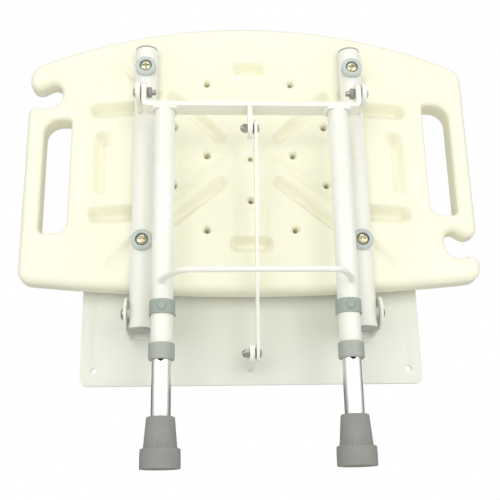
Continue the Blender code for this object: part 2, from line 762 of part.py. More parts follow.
def board_outline():
    """Straight sides, a bowed front edge at the top and a slightly bowed rear edge."""
    half = BOARD_WIDTH / 2
    front = BOARD_REAR + BOARD_LENGTH
    spread = math.degrees(math.asin(half / BOARD_FRONT_ARC))
    bow = math.degrees(math.asin(half / BOARD_REAR_ARC))
    top = arc((0, front - BOARD_FRONT_ARC), BOARD_FRONT_ARC, 90 - spread, 90 + spread, 10)
    bottom = arc((0, BOARD_REAR + BOARD_REAR_ARC), BOARD_REAR_ARC, 270 - bow, 270 + bow, 4)
    corners = [(x, z, 0) for x, z in top + bottom]
    for index in (0, len(top) - 1):
        corners[index] = (*corners[index][:2], BOARD_FRONT_CORNER)
    for index in (len(top), -1):
        corners[index] = (*corners[index][:2], BOARD_REAR_CORNER)
    return rounded(corners, 5)


def board_opening(outline, flare, depth=None, draft=0.0):
    """Cuts an outline into the board, and keeps a skin round it in the hollow.

    Without a depth it goes right through, and both rims are flared. With one, it is a drafted recess
    in the underside.
    """
    out = UNDERSIDE_Y - OVERSHOOT
    skin = BOARD_SKIN
    if depth is None:
        back = BOARD_FACE_Y
        levels = [(out, flare + OVERSHOOT), (UNDERSIDE_Y + flare, 0), (back - flare * 0.4, 0),
                  (back + OVERSHOOT, flare * 0.4 + OVERSHOOT)]
        keep = [(out, skin), (back + OVERSHOOT, skin)]
    else:
        floor = UNDERSIDE_Y + depth
        levels = [(out, flare + OVERSHOOT), (UNDERSIDE_Y + flare, 0), (floor, -draft)]
        keep = [(out, skin), (floor + skin, skin - draft * 0.6)]
    as_tool(lofted(outline, levels), BOARD_CUTS)
    as_tool(lofted(outline, keep), CAVITY_KEEPS)


def mirrored(outline):
    return [(-x, z) for x, z in outline]


def slot_outline(side):
    """The hand slot: its outer front corner and inner rear corner are the rounder ones."""
    outer = BOARD_WIDTH / 2 - SLOT_IN
    inner = outer - SLOT_WIDTH
    low = from_rear(SLOT_FROM_REAR[side > 0])
    high = low + SLOT_LENGTH
    corners = zip((inner, outer, outer, inner), (low, low, high, high), SLOT_CORNERS)
    outline = rounded(list(corners))
    return outline if side > 0 else mirrored(outline)


def notch_outline(side):
    """The hose notch: a hook that opens at the board's side, with a round pocket at its inner end."""
    low = from_rear(NOTCH_FROM_REAR[side > 0])
    inner = BOARD_WIDTH / 2 - NOTCH_REACH
    outside = BOARD_WIDTH / 2 + NOTCH_PAST_SIDE
    length, rear_radius, front_radius = NOTCH_POCKET
    lip_in, lip_up, lip_radius = NOTCH_LIP
    outline = rounded([(outside, low, 0), (inner, low, rear_radius),
                       (inner, low + length, front_radius),
                       (BOARD_WIDTH / 2 - lip_in, low + lip_up, lip_radius),
                       (outside, low + lip_up + NOTCH_RISE, 0)])
    return outline if side > 0 else mirrored(outline)


def spot(place, side):
    """A place on the underside, given as distances from the centre line and the rear edge."""
    return place[0] * side, from_rear(place[1])


def recess(ends, side, width, flare, depth, draft):
    start, end = (spot(place, side) for place in ends)
    board_opening(capsule(start, end, width), flare, depth, draft)


def board_features():
    for place in DRAINS:
        for side in {1, -1} if place[0] else {1}:
            drain(spot(place, side))
    for side in SIDES.values():
        board_opening(slot_outline(side), RIM_FLARE)
        board_opening(notch_outline(side), RIM_FLARE)
        for groove in (UPPER_GROOVE, LOWER_GROOVE):
            recess(groove, side, GROOVE_WIDTH, GROOVE_FLARE, GROOVE_DEPTH, GROOVE_DRAFT)
        tail = (LOWER_GROOVE[1], GROOVE_TAIL)
        recess(tail, side, GROOVE_WIDTH, TAIL_DEPTH / 2, TAIL_DEPTH, TAIL_DEPTH / 2)
        corners = [(*spot(place, side), TROUGH_CORNER) for place in TROUGH]
        board_opening(rounded(corners), TROUGH_DEPTH / 2, TROUGH_DEPTH, TROUGH_DEPTH)
        for up, width in SIDE_RECESSES:
            ends = ((BOARD_WIDTH / 2 - SIDE_RECESS_IN, up), (TUBE_X, up))
            recess(ends, side, width, RECESS_FLARE, RECESS_DEPTH, RECESS_DRAFT)
        inward, low, high, width = KEYHOLE_STEM
        ends = [(BOARD_WIDTH / 2 - inward, up) for up in (low, high)]
        recess(ends, side, width, GROOVE_FLARE, KEYHOLE_STEM_DEPTH, GROOVE_DRAFT)
        inward, up, radius = KEYHOLE_HEAD
        head = circle(spot((BOARD_WIDTH / 2 - inward, up), side), radius)
        board_opening(head, RECESS_FLARE, RECESS_DEPTH, RECESS_DRAFT)
    for up, width in CENTRE_RECESSES:
        ends = ((-CENTRE_RECESS_SPAN / 2, up), (CENTRE_RECESS_SPAN / 2, up))
        recess(ends, 1, width, RECESS_FLARE, RECESS_DEPTH, RECESS_DRAFT)
    half, low, high, radius = PANEL
    low, high = from_rear(low), from_rear(high)
    corners = [(-half, low, radius), (half, low, radius), (half, high, radius), (-half, high, radius)]
    levels = [(UNDERSIDE_Y - OVERSHOOT, OVERSHOOT), (UNDERSIDE_Y + PANEL_DEPTH, -PANEL_DEPTH)]
    as_tool(lofted(rounded(corners), levels), BOARD_CUTS)


def drain(at):
    """A drain hole through the board, funnelled at the underside and eased at the sitting face."""
    radius = DRAIN_DIA / 2
    mouth = DRAIN_FUNNEL[0] / 2 - radius
    out, face = UNDERSIDE_Y - OVERSHOOT, BOARD_FACE_Y
    levels = [(out, mouth), (UNDERSIDE_Y + DRAIN_FUNNEL[1], 0), (face + OVERSHOOT, 0)]
    keep = [(out, mouth + BOARD_SKIN), (face + OVERSHOOT, BOARD_SKIN)]
    as_tool(lofted(circle(at, radius), levels), BOARD_CUTS)
    as_tool(lofted(circle(at, radius), keep), CAVITY_KEEPS)


def seat_board():
    """The blow-moulded board: a hollow skin with moulded recesses, drain holes and tube grooves."""
    middle_y = UNDERSIDE_Y + BOARD_THICK / 2
    board = deep(board_outline(), BOARD_THICK, middle_y, BOARD_EDGE)
    hollow_edge = BOARD_EDGE - BOARD_SKIN
    hollow = deep(grown(board_outline(), -BOARD_SKIN), BOARD_THICK - 2 * BOARD_SKIN, middle_y, hollow_edge, 1)
    board_features()
    for side in SIDES.values():
        axis = (TUBE_X * side, -PIVOT_DEPTH, from_rear(BOARD_LENGTH / 2))
        length = 2 * BOARD_LENGTH
        as_tool(cylinder(TUBE_RADIUS + GAP, length, axis, "+Z", TUBE_STEPS), BOARD_CUTS)
        as_tool(cylinder(TUBE_RADIUS + GAP + BOARD_SKIN, length, axis, "+Z", TUBE_STEPS), CAVITY_KEEPS)
        for distance in SCREW_FROM_REAR:
            at = (TUBE_X * side, from_rear(distance))
            groove = -PIVOT_DEPTH + TUBE_RADIUS
            hole = lofted(circle(at, SCREW_DIA / 2 + GAP),
                          [(groove - OVERSHOOT, 0), (groove + GAP + SCREW_IN_BOARD, 0)])
            as_tool(hole, BOARD_CUTS)
            boss = [(groove, BOSS_RADIUS), (BOARD_FACE_Y, BOSS_RADIUS)]
            as_tool(lofted(circle(at, SCREW_DIA / 2), boss), CAVITY_KEEPS)
    cut_group(hollow, CAVITY_KEEPS)
    at = (0, from_rear(BLOW_HOLE_UP))
    vent = lofted(circle(at, BLOW_HOLE_DIA / 2), [(UNDERSIDE_Y - OVERSHOOT, 0), (middle_y, 0)])
    as_tool(vent, BOARD_CUTS)
    cut(board, hollow)
    cut_group(board, BOARD_CUTS)
    place(board, "seat_board", CREAM, SEAT)
    radius = BLOW_HOLE_DIA / 2 - GAP
    dimple, floor = BLOW_PLUG_DIMPLE[0] / 2, BLOW_PLUG_RECESS + BLOW_PLUG_DIMPLE[1]
    plug = turned([(0, BLOW_PLUG_DEPTH), (radius, BLOW_PLUG_DEPTH), (radius, BLOW_PLUG_RECESS),
                   (dimple, BLOW_PLUG_RECESS), (dimple, floor), (0, floor)], False, BOLT_STEPS)
    point_along(plug, "+Y").location = (at[0], UNDERSIDE_Y, at[1])
    place(smooth_turned(plug), "blow_hole_plug", BRASS, SEAT)


# Leg frame


def crossbar():
    """A flat bar whose bent-up ends are the leg frame's pivot ears."""
    y, z = LEG_PIVOT.yz
    radius = CROSSBAR_DEPTH / 2
    top = z + radius
    inner = BAR_HALF - CROSSBAR_THICK
    small = CROSSBAR_BEND - CROSSBAR_THICK
    half = [(BAR_HALF, BAR_BOTTOM, CROSSBAR_BEND), (BAR_HALF, top, 0), (inner, top, 0),
            (inner, BAR_TOP, small)]
    channel = rounded(half + [(-x, z, radius) for x, z, radius in half[::-1]])
    bar = deep(channel, CROSSBAR_DEPTH, y)
    side_view = arc((y, z), radius, 0, 180, 2 * ARC_STEPS)
    side_view += [(y - radius, BAR_BOTTOM - OVERSHOOT), (y + radius, BAR_BOTTOM - OVERSHOOT)]
    keep_within(bar, across(side_view, 2 * BAR_HALF + OVERSHOOT, 0))
    cut(bar, cylinder(LEG_BOLT_DIA / 2 + GAP, 2 * BAR_HALF + OVERSHOOT, (0, y, z), "+X"))
    place(bar, "crossbar", WHITE, LEGS)


def link_tab():
    """The ear under the crossbar that holds the link's upper end."""
    y, z = LINK_UPPER.yz
    radius = CROSSBAR_DEPTH / 2
    outline = arc((y, z), radius, 180, 360, 2 * ARC_STEPS) + [(y + radius, LEG_TOP), (y - radius, LEG_TOP)]
    tab = across(outline, LINK_TAB_THICK, -LINK_TAB_THICK / 2)
    cut(tab, cylinder(LINK_BOLT_DIA / 2 + GAP, LINK_TAB_THICK + OVERSHOOT, (-LINK_TAB_THICK / 2, y, z), "+X"))
    place(tab, "link_tab", WHITE, LEGS)


def leg_tube(name, side):
    tube = pipe(LEG_RADIUS, LEG_RADIUS - LEG_WALL, LEG_END, LEG_TOP)
    tube.location = (LEG_X * side, LEG_PIVOT.y, 0)
    cut(tube, cylinder(PIN_DIA / 2 + GAP, LEG_RADIUS, (*front_of_leg(side), PIN_Z), "+Y"))
    place(smooth_turned(tube), f"leg_tube_{name}", WHITE, LEGS)


def front_of_leg(side):
    return LEG_X * side, LEG_PIVOT.y - LEG_RADIUS


def bent_path(corners, radius, steps):
    """A path through 3D corners with the inner ones rounded."""
    path = [Vector(corners[0])]
    for before, here, after in zip(corners, corners[1:], corners[2:]):
        here = Vector(here)
        back = (Vector(before) - here).normalized()
        on = (Vector(after) - here).normalized()
        half = back.angle(on) / 2
        center = here + (back + on).normalized() * radius / math.sin(half)
        first = here + back * radius / math.tan(half) - center
        turn = math.pi - 2 * half
        normal = back.cross(on).normalized()
        path += [center + Matrix.Rotation(-turn * i / steps, 3, normal) @ first for i in range(steps + 1)]
    return path + [Vector(corners[-1])]


def rod(path, radius):
    curve = bpy.data.curves.new("rod", "CURVE")
    curve.dimensions = "3D"
    curve.bevel_depth = radius
    curve.bevel_resolution = 3
    curve.use_fill_caps = True
    spline = curve.splines.new("POLY")
    spline.points.add(len(path) - 1)
    for point, at in zip(spline.points, path):
        point.co = (*at, 1)
    obj = bpy.data.objects.new("rod", curve)
    PIECES.objects.link(obj)
    return as_mesh(obj)


def handle():
    """The bent grip rod between the legs' fronts."""
    z = LEG_END + HANDLE_ABOVE_END
    front = LEG_PIVOT.y - LEG_RADIUS
    ends = []
    for root_x, corner_x in zip(HANDLE_ROOTS, HANDLE_CORNERS):
        lean = math.atan2(abs(root_x - corner_x), HANDLE_REACH)
        root_y = front - GAP - HANDLE_DIA / 2 * math.sin(lean)
        ends.append([(root_x, root_y, z), (corner_x, front - HANDLE_REACH, z)])
    corners = ends[0] + ends[1][::-1]
    place(smooth(rod(bent_path(corners, HANDLE_BEND, 8), HANDLE_DIA / 2)), "handle", WHITE, LEGS)


def leg_bush(name, side):
    """The collar at the leg tube's lower end that guides the extension."""
    outer = LEG_RADIUS + GAP + BUSH_WALL
    grip = LEG_RADIUS + GAP
    slide = EXTENSION_RADIUS + GAP
    lip_top = LEG_END - GAP
    bottom = lip_top - BUSH_LIP
    top = bottom + BUSH_HEIGHT
    edge = BUSH_CHAMFER
    heel = arc((outer - BUSH_ROUND, bottom + BUSH_ROUND), BUSH_ROUND, 0, -90, ARC_STEPS)
    profile = [(grip, top), (outer - edge, top), (outer, top - edge)] + heel
    profile += [(slide, bottom), (slide, lip_top), (grip, lip_top)]
    bush = turned(profile, True)
    bush.location = (LEG_X * side, LEG_PIVOT.y, 0)
    place(smooth_turned(bush), f"leg_bush_{name}", GREY, LEGS)


def height_clip(name, side):
    """The spring clip round the leg, whose pin holds the extension at one of its holes."""
    inner = LEG_RADIUS + GAP
    outer = inner + CLIP_WALL
    x, y = LEG_X * side, LEG_PIVOT.y
    axis = anchor(f"clip_axis_{name}", (x, y, PIN_Z), LEGS)
    end = y + CLIP_ARM
    outline = arc((x, y), outer, 180, 360, 3 * ARC_STEPS) + [(x + outer, end), (x + inner, end)]
    outline += arc((x, y), inner, 360, 180, 3 * ARC_STEPS) + [(x - inner, end), (x - outer, end)]
    clip = upright(outline, CLIP_HEIGHT, PIN_Z)
    radius = CLIP_BOSS_DIA / 2
    bpy.ops.mesh.primitive_uv_sphere_add(segments=16, ring_count=8, radius=radius)
    boss = bpy.context.object
    boss.location = (x, y - outer - CLIP_BOSS_OUT + radius, PIN_Z)
    join(clip, boss)
    cut(clip, cylinder(inner, 2 * CLIP_HEIGHT, (x, y, PIN_Z), "+Z", TUBE_STEPS))
    start = y - inner - CLIP_WALL / 2
    tip = y - inner + PIN_LENGTH
    join(clip, cylinder(PIN_DIA / 2, tip - start, (x, (start + tip) / 2, PIN_Z), "+Y"))
    place(clip, f"height_clip_{name}", CLIP, axis)


# Leg extensions


def extension_axis(name, side):
    return anchor(f"extension_axis_{name}", (LEG_X * side, LEG_PIVOT.y, LEG_END), LEGS)


def leg_extension(name, side, axis):
    """The sliding inner tube, with a row of holes up its front."""
    holes = [PIN_Z + (step - HOLES_BELOW) * HOLE_PITCH for step in range(HOLE_COUNT)]
    top = holes[-1] + HOLE_MARGIN
    tube = pipe(EXTENSION_RADIUS, EXTENSION_RADIUS - EXTENSION_WALL, EXTENSION_END, top)
    tube.location = (LEG_X * side, LEG_PIVOT.y, 0)
    for height in holes:
        hole = (*front_of_leg(side), height)
        cut(tube, cylinder(PIN_DIA / 2 + GAP, EXTENSION_RADIUS, hole, "+Y", 10))
    place(smooth_turned(tube), f"leg_extension_{name}", ALUMINIUM, axis)


def rubber_tip(name, side, axis):
    bore = EXTENSION_RADIUS + GAP
    floor = EXTENSION_END - TIP_WASHER_THICK - 2 * GAP
    bottom = floor - TIP_FLOOR
    top = bottom + TIP_HEIGHT
    flange_top = bottom + TIP_FLANGE_HEIGHT
    neck, low, flange = TIP_NECK_DIA / 2, TIP_NECK_BOTTOM_DIA / 2, TIP_FLANGE_DIA / 2
    shoulder = arc((flange - TIP_ROUND, flange_top - TIP_ROUND), TIP_ROUND, 80, 0, 3)
    heel = arc((flange - TIP_ROUND, bottom + TIP_ROUND), TIP_ROUND, 0, -90, 3)
    profile = [(0, floor), (bore, floor), (bore, top), (neck - TIP_EDGE, top), (neck, top - TIP_EDGE),
               (low, flange_top + TIP_NECK_FOOT)] + shoulder + heel + [(0, bottom)]
    tip = turned(profile, False)
    tip.location = (LEG_X * side, LEG_PIVOT.y, 0)
    place(smooth_turned(tip), f"rubber_tip_{name}", RUBBER, axis)
    center = (LEG_X * side, LEG_PIVOT.y, floor + GAP + TIP_WASHER_THICK / 2)
    disc = cylinder(EXTENSION_RADIUS - GAP, TIP_WASHER_THICK, center)
    place(disc, f"tip_washer_{name}", STEEL, axis)


# Centre link


def link_bar():
    """The flat strip that keeps the leg frame upright."""
    low, high = LINK_LOWER.yz, LINK_UPPER.yz
    center_x = LINK_WASHER[1] + 2 * GAP + LINK_THICK / 2
    bar = across(capsule(low, high, LINK_WIDTH), LINK_THICK, center_x)
    for y, z in (low, high):
        cut(bar, cylinder(LINK_BOLT_DIA / 2 + GAP, LINK_THICK + OVERSHOOT, (center_x, y, z), "+X"))
    place(bar, "link_bar", WHITE, LINK)


def link_pivot(level, at, parent):
    """The bolt, washer and domed nut at one end of the link."""
    head_x = LINK_WASHER[1] + 2 * GAP + LINK_THICK + GAP
    nut_x = -LINK_TAB_THICK - GAP
    hex_center = (nut_x - LINK_NUT[1] / 2, at.y, at.z)
    blind = LINK_NUT[1] + LINK_NUT_DOME * 0.35
    bolt(LINK_BOLT_HEAD, LINK_BOLT_DIA, head_x - nut_x + blind - GAP, STEEL, f"link_bolt_{level}",
         (head_x, at.y, at.z), "-X", parent)
    washer(LINK_WASHER, LINK_BOLT_DIA, (GAP + LINK_WASHER[1] / 2, at.y, at.z), "+X", GREY,
           f"link_washer_{level}", parent)
    nut = cylinder(LINK_NUT[0] / math.sqrt(3), LINK_NUT[1], hex_center, "+X", 6)
    radius = LINK_NUT[0] * 0.46
    angles = [math.radians(90 * i / 4) for i in range(5)]
    dome = [(radius * math.cos(a), LINK_NUT_DOME * math.sin(a)) for a in angles[-2::-1]]
    profile = [(0, LINK_NUT_DOME)] + dome + [(radius, -OVERSHOOT), (0, -OVERSHOOT)]
    cap = point_along(turned(profile, False, BOLT_STEPS), "-X")
    cap.location = (nut_x - LINK_NUT[1], at.y, at.z)
    join(nut, cap)
    bore_x = nut_x - (blind - OVERSHOOT) / 2
    cut(nut, cylinder(LINK_BOLT_DIA / 2 + GAP, blind + OVERSHOOT, (bore_x, at.y, at.z), "+X"))
    place(nut, f"link_nut_{level}", STEEL, parent)


def build():
    wall_plate()
    link_bracket()
    crossbar()
    link_tab()
    handle()
    link_bar()
    link_pivot("lower", LINK_LOWER, WALL)
    link_pivot("upper", LINK_UPPER, LEGS)
    for name, side in SIDES.items():
        pivot_bracket(f"pivot_bracket_{name}", side)
        wall_pivot(name, side)
        seat_tube(name, side)
        pivot_bush(name, side, side, "outer")
        pivot_bush(name, side, -side, "inner")
        pivot_tab(name, side)
        leg_pivot(name, side)
        leg_tube(name, side)
        leg_bush(name, side)
        height_clip(name, side)
        axis = extension_axis(name, side)
        leg_extension(name, side, axis)
        rubber_tip(name, side, axis)
        for level, distance in zip(("lower", "upper"), SCREW_FROM_REAR):
            tube_plug(name, side, level)
            cup_washer(name, side, BOARD_REAR + distance, level)
            seat_screw(name, side, BOARD_REAR + distance, level)
    seat_board()


build()
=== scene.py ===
"""The wall-mounted folding shower seat, finished piece by piece in its studio.

Metres. The wall is the plane y = 0, the seat hangs on its -Y side, X runs to the right and Z is up.
"""

import math

import bpy
from bpy.props import FloatProperty, FloatVectorProperty, IntProperty, PointerProperty
from mathutils import Matrix, Vector


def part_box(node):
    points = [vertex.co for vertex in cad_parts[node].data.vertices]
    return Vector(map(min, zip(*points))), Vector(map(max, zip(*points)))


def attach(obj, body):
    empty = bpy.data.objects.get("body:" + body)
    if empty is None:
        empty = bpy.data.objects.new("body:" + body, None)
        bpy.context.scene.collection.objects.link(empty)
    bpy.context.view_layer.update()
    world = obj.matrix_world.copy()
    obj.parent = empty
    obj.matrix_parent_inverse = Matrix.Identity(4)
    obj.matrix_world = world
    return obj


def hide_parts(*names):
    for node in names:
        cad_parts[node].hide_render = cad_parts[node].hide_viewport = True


bl_info = {
    "name": "Folding Shower Seat",
    "version": (1, 0, 0),
    "blender": (4, 5, 0),
    "location": "3D View > Sidebar > Shower Seat",
    "description": "Models the wall-mounted folding shower seat and its studio",
    "category": "Add Mesh",
}

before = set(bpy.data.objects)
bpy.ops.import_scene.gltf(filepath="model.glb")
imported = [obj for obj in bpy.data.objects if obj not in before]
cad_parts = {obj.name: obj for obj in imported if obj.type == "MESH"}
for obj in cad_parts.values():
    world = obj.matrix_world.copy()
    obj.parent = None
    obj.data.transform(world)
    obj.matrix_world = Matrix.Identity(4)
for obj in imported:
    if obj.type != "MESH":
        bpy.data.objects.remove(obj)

SIDES = {"left": -1, "right": 1}
WELD = 0.000002                 # corners closer than this become one
GAP = 0.0003                    # how far a shape reaches past the face that it meets
UNDERSIDE = -0.0385             # y of the board's underside, which faces the room
SITTING_FACE = -0.0085          # y of its sitting face, which faces the wall
REAR = 0.0255                   # height of the middle of the board's rear edge
SEAT_PIVOT = Vector((0, -0.0455, 0))
LEG_PIVOT = Vector((0, -0.0885, 0.2345))
LINK_LOWER = Vector((0, -0.0455, -0.042))
LINK_UPPER = Vector((0, -0.0885, 0.1925))
SEAT_TUBE, LEG_TUBE, EXTENSION = 0.0127, 0.0111, 0.009525       # radii of the tubes
SADDLE = 0.0130                 # radius of whatever beds on a seat tube
WALL_BORE, LEG_BORE, LINK_BORE = 0.0043, 0.0033, 0.0028         # radii of the holes for the bolts
PIN_BORE = 0.0033               # radius of the holes for the pins of the height clips
PIN_LEVEL = -0.0045             # height of those pins
PIN_STEP = 0.0254               # from hole to hole along a leg extension
EAR = 0.005                     # thickness of the flat ears, the tabs and the crossbar


# Places and sizes read from the frame


def low(node):
    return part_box(node)[0]


def high(node):
    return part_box(node)[1]


def middle(node):
    return (low(node) + high(node)) / 2


def extent(node):
    return high(node) - low(node)


def on_line(node, z):
    """The place at height z on a node's upright middle line."""
    return Vector((*middle(node).xy, z))


def both(kind):
    """The name of each side, with its node of this kind."""
    return [(name, f"{kind}_{name}") for name in SIDES]


def sizes():
    return bpy.context.scene.seat_sizes


def colours():
    return bpy.context.scene.seat_colours


def studio():
    return bpy.context.scene.seat_studio


# Outlines and profiles, as lists of flat points


def oval(center, radii, start, end, count):
    """Part of an ellipse, from one angle in degrees to another in count steps."""
    turns = [math.radians(start + (end - start) * i / count) for i in range(count + 1)]
    return [(center[0] + radii[0] * math.cos(t), center[1] + radii[1] * math.sin(t)) for t in turns]


def arc(center, radius, start, end, count):
    return oval(center, (radius, radius), start, end, count)


def capsule(length, width):
    """A lying outline with round ends, centred on zero. length is from end to end."""
    reach = (length - width) / 2
    return arc((reach, 0), width / 2, -90, 90, 8) + arc((-reach, 0), width / 2, 90, 270, 8)


def rectangle(center, reach, tall):
    """The corners of a rectangle that goes this far to each side of its center."""
    x, y = center
    return [(x - reach, y - tall), (x + reach, y - tall), (x + reach, y + tall), (x - reach, y + tall)]


def rounded(corners, count=6):
    """A closed outline through corners (x, y, radius)."""
    points = []
    for index, (x, y, radius) in enumerate(corners):
        here = Vector((x, y))
        before = (Vector(corners[index - 1][:2]) - here).normalized()
        after = (Vector(corners[(index + 1) % len(corners)][:2]) - here).normalized()
        if not radius:
            points.append((x, y))
            continue
        half = before.angle(after) / 2
        center = here + (before + after).normalized() * radius / math.sin(half)
        first = here + before * radius / math.tan(half) - center
        last = here + after * radius / math.tan(half) - center
        turn = math.degrees(math.atan2(first.x * last.y - first.y * last.x, first.dot(last)))
        begin = math.degrees(math.atan2(first.y, first.x))
        points += arc(center, radius, begin, begin + turn, count)
    return points


def folded(reach, base, rim, thick, bend):
    """The section of a folded channel, closed at base and open at rim."""
    floor = base + (thick if rim > base else -thick)
    half = [(reach, base, bend), (reach, rim, 0), (reach - thick, rim, 0),
            (reach - thick, floor, bend - thick)]
    return rounded(half + [(-x, y, radius) for x, y, radius in half[::-1]])


def tongue(base, half, center, radius, count):
    """An ear's side view: a straight base and the two tangents to a round tip."""
    away = Vector((base - center[0], half))
    lean = math.degrees(math.atan2(away.y, away.x) + math.acos(radius / away.length))
    return ([(base, center[1] + half)] + arc(center, radius, lean, 360 - lean, count)
            + [(base, center[1] - half)])


def dome(radius, height, count):
    """The profile of a round head, from its crown to its rim."""
    return oval((0, height), (radius, height), -90, 0, count)


def laid(outline, axis, level):
    """The outline's points in the plane across an axis, where X is 0, Y is 1 and Z is 2."""
    return [Vector((*point[:axis], level, *point[axis:])) for point in outline]


# Modelling steps


def deselect():
    if bpy.context.mode != "OBJECT":
        bpy.ops.object.mode_set(mode="OBJECT")
    bpy.ops.object.select_all(action="DESELECT")


def pick(obj):
    deselect()
    obj.select_set(True)
    bpy.context.view_layer.objects.active = obj


def close_mesh(obj):
    """Merges what lies together, turns the faces outwards and leaves edit mode."""
    bpy.ops.mesh.select_all(action="SELECT")
    bpy.ops.mesh.remove_doubles(threshold=WELD)
    bpy.ops.mesh.normals_make_consistent(inside=False)
    bpy.ops.object.mode_set(mode="OBJECT")
    return obj


def extrude(by):
    bpy.ops.mesh.extrude_region_move(TRANSFORM_OT_translate={"value": by})


def trace(points, closed=True):
    """Pulls one vertex from point to point, and leaves the line open in edit mode."""
    deselect()
    bpy.ops.mesh.primitive_plane_add(size=0.001, location=points[0])
    obj = bpy.context.object
    bpy.ops.object.mode_set(mode="EDIT")
    bpy.ops.mesh.select_mode(type="VERT")
    bpy.ops.mesh.select_all(action="SELECT")
    bpy.ops.mesh.merge(type="CENTER")
    for here, there in zip(points, points[1:]):
        extrude(there - here)
    if closed:
        bpy.ops.mesh.select_all(action="SELECT")
        bpy.ops.mesh.edge_face_add()
    return obj


def slab(outline, axis, level, thick):
    """A flat outline pulled along the axis that it lies across, from this level on."""
    obj = trace(laid(outline, axis, level))
    extrude(thick * Matrix.Identity(3)[axis])
    return close_mesh(obj)


def ear(side_view, x, thick):
    return slab(side_view, 0, x - thick / 2, thick)


def lathe(profile, steps=64):
    """A profile of (radius, height) spun about Z."""
    obj = trace(laid(profile, 1, 0), closed=False)
    bpy.ops.mesh.select_all(action="SELECT")
    bpy.ops.mesh.spin(steps=steps, angle=math.tau, center=(0, 0, 0), axis=(0, 0, 1))
    return close_mesh(obj)


def modify(obj, kind, **settings):
    """Adds a modifier and applies it."""
    pick(obj)
    modifier = obj.modifiers.new(kind.title(), kind)
    for name, value in settings.items():
        setattr(modifier, name, value)
    bpy.ops.object.modifier_apply(modifier=modifier.name)
    return obj


def round_edges(obj, width, segments=2, degrees=40, clamp=True):
    return modify(obj, "BEVEL", width=width, segments=segments, limit_method="ANGLE",
                  angle_limit=math.radians(degrees), harden_normals=False, use_clamp_overlap=clamp)


def carve(obj, cutters, operation="DIFFERENCE"):
    """One boolean with all the cutters, which are then thrown away."""
    tray = bpy.data.collections.new("cutters")
    bpy.context.scene.collection.children.link(tray)
    for cutter in cutters:
        for holder in list(cutter.users_collection):
            holder.objects.unlink(cutter)
        tray.objects.link(cutter)
    modify(obj, "BOOLEAN", operation=operation, solver="MANIFOLD", operand_type="COLLECTION",
           collection=tray)
    for cutter in cutters:
        bpy.data.objects.remove(cutter, do_unlink=True)
    bpy.data.collections.remove(tray)
    return obj


TURNS = {"+X": (90, "Y"), "-X": (-90, "Y"), "+Y": (-90, "X"), "-Y": (90, "X"), "+Z": (0, "X"),
         "-Z": (180, "X")}


def stand(obj, place, axis="+Z"):
    """Turns a piece made along Z so that it points along axis, and sets it in place."""
    pick(obj)
    degrees, about = TURNS[axis]
    turn = Matrix.Rotation(math.radians(degrees), 4, about)
    obj.matrix_world = Matrix.Translation(place) @ turn @ obj.matrix_world
    bpy.ops.object.transform_apply(location=True, rotation=True, scale=True)
    return obj


def bar(radius, length, center, axis="+Z", sides=24):
    """A round cutter or shank, centred on a place."""
    deselect()
    bpy.ops.mesh.primitive_cylinder_add(vertices=sides, radius=radius, depth=length)
    return stand(bpy.context.object, center, axis)


def drill(obj, radius, length, centers, axis, sides=24):
    return carve(obj, [bar(radius, length, center, axis, sides) for center in centers])


def copy_of(obj):
    made = obj.copy()
    made.data = obj.data.copy()
    bpy.context.scene.collection.objects.link(made)
    return made


def joined(parts):
    pick(parts[0])
    for part in parts:
        part.select_set(True)
    bpy.ops.object.join()
    return bpy.context.object


def piece(obj, name, body, coat, *nodes, slot=None, degrees=35):
    """Names, smooths, coats and hangs a finished piece; the slot argument is not used."""
    pick(obj)
    bpy.ops.object.transform_apply(location=True, rotation=True, scale=True)
    obj.name = name
    obj.data.name = name
    obj.data.materials.clear()
    obj.data.materials.append(look(coat))
    bpy.ops.object.shade_smooth_by_angle(angle=math.radians(degrees))
    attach(obj, body)
    if nodes:
        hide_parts(*nodes)
    return obj


# Finishes


def fill(tree, node, **inputs):
    """Gives a shader node's inputs a value or another node's output. Underscores stand for spaces."""
    for name, value in inputs.items():
        socket = node.inputs[name.replace("_", " ")]
        if isinstance(value, bpy.types.NodeSocket):
            tree.links.new(value, socket)
        else:
            socket.default_value = value
    return node


def add_node(tree, kind, **inputs):
    return fill(tree, tree.nodes.new(f"ShaderNode{kind}"), **inputs)


def add_noise(tree, vector, scale, detail, roughness=0.5):
    noise = add_node(tree, "TexNoise", Vector=vector, Scale=scale, Detail=detail, Roughness=roughness)
    return noise.outputs["Fac"]


def remap(tree, value, low_out, high_out, low_in=0.3, high_in=0.7):
    return add_node(tree, "MapRange", Value=value, From_Min=low_in, From_Max=high_in, To_Min=low_out,
                    To_Max=high_out).outputs["Result"]


def drift_colours(tree, place, scale, detail, first, second):
    """A colour that drifts from the first to the second in patches."""
    node = tree.nodes.new("ShaderNodeMix")
    node.data_type = "RGBA"
    drift = remap(tree, add_noise(tree, place, scale, detail), 0, 1)
    fill(tree, node, Factor=drift, A=(*first, 1), B=(*second, 1))
    return node.outputs["Result"]


def finish(name, colour, roughness, patch, grain, tone=0.03, height=0.00004, metallic=0.0,
           stretch=(1, 1, 1), gloss_swing=0.06, specular=0.5):
    """A surface whose tone drifts in broad patches, with a fine grain in its gloss and height."""
    made = bpy.data.materials.new(name)
    made.use_nodes = True
    tree = made.node_tree
    place = add_node(tree, "TexCoord").outputs["Object"]
    stretched = add_node(tree, "Mapping", Vector=place, Scale=stretch).outputs["Vector"]
    grains = add_noise(tree, stretched, grain, 2)
    darker = [c * (1 - tone) for c in colour]
    lighter = [min(c * (1 + tone), 1) for c in colour]
    fill(tree, tree.nodes["Principled BSDF"], Metallic=metallic, Specular_IOR_Level=specular,
         Base_Color=drift_colours(tree, place, patch, 3, darker, lighter),
         Roughness=remap(tree, grains, roughness - gloss_swing / 2, roughness + gloss_swing / 2),
         Normal=add_node(tree, "Bump", Height=grains, Strength=0.6, Distance=height).outputs["Normal"])
    return made


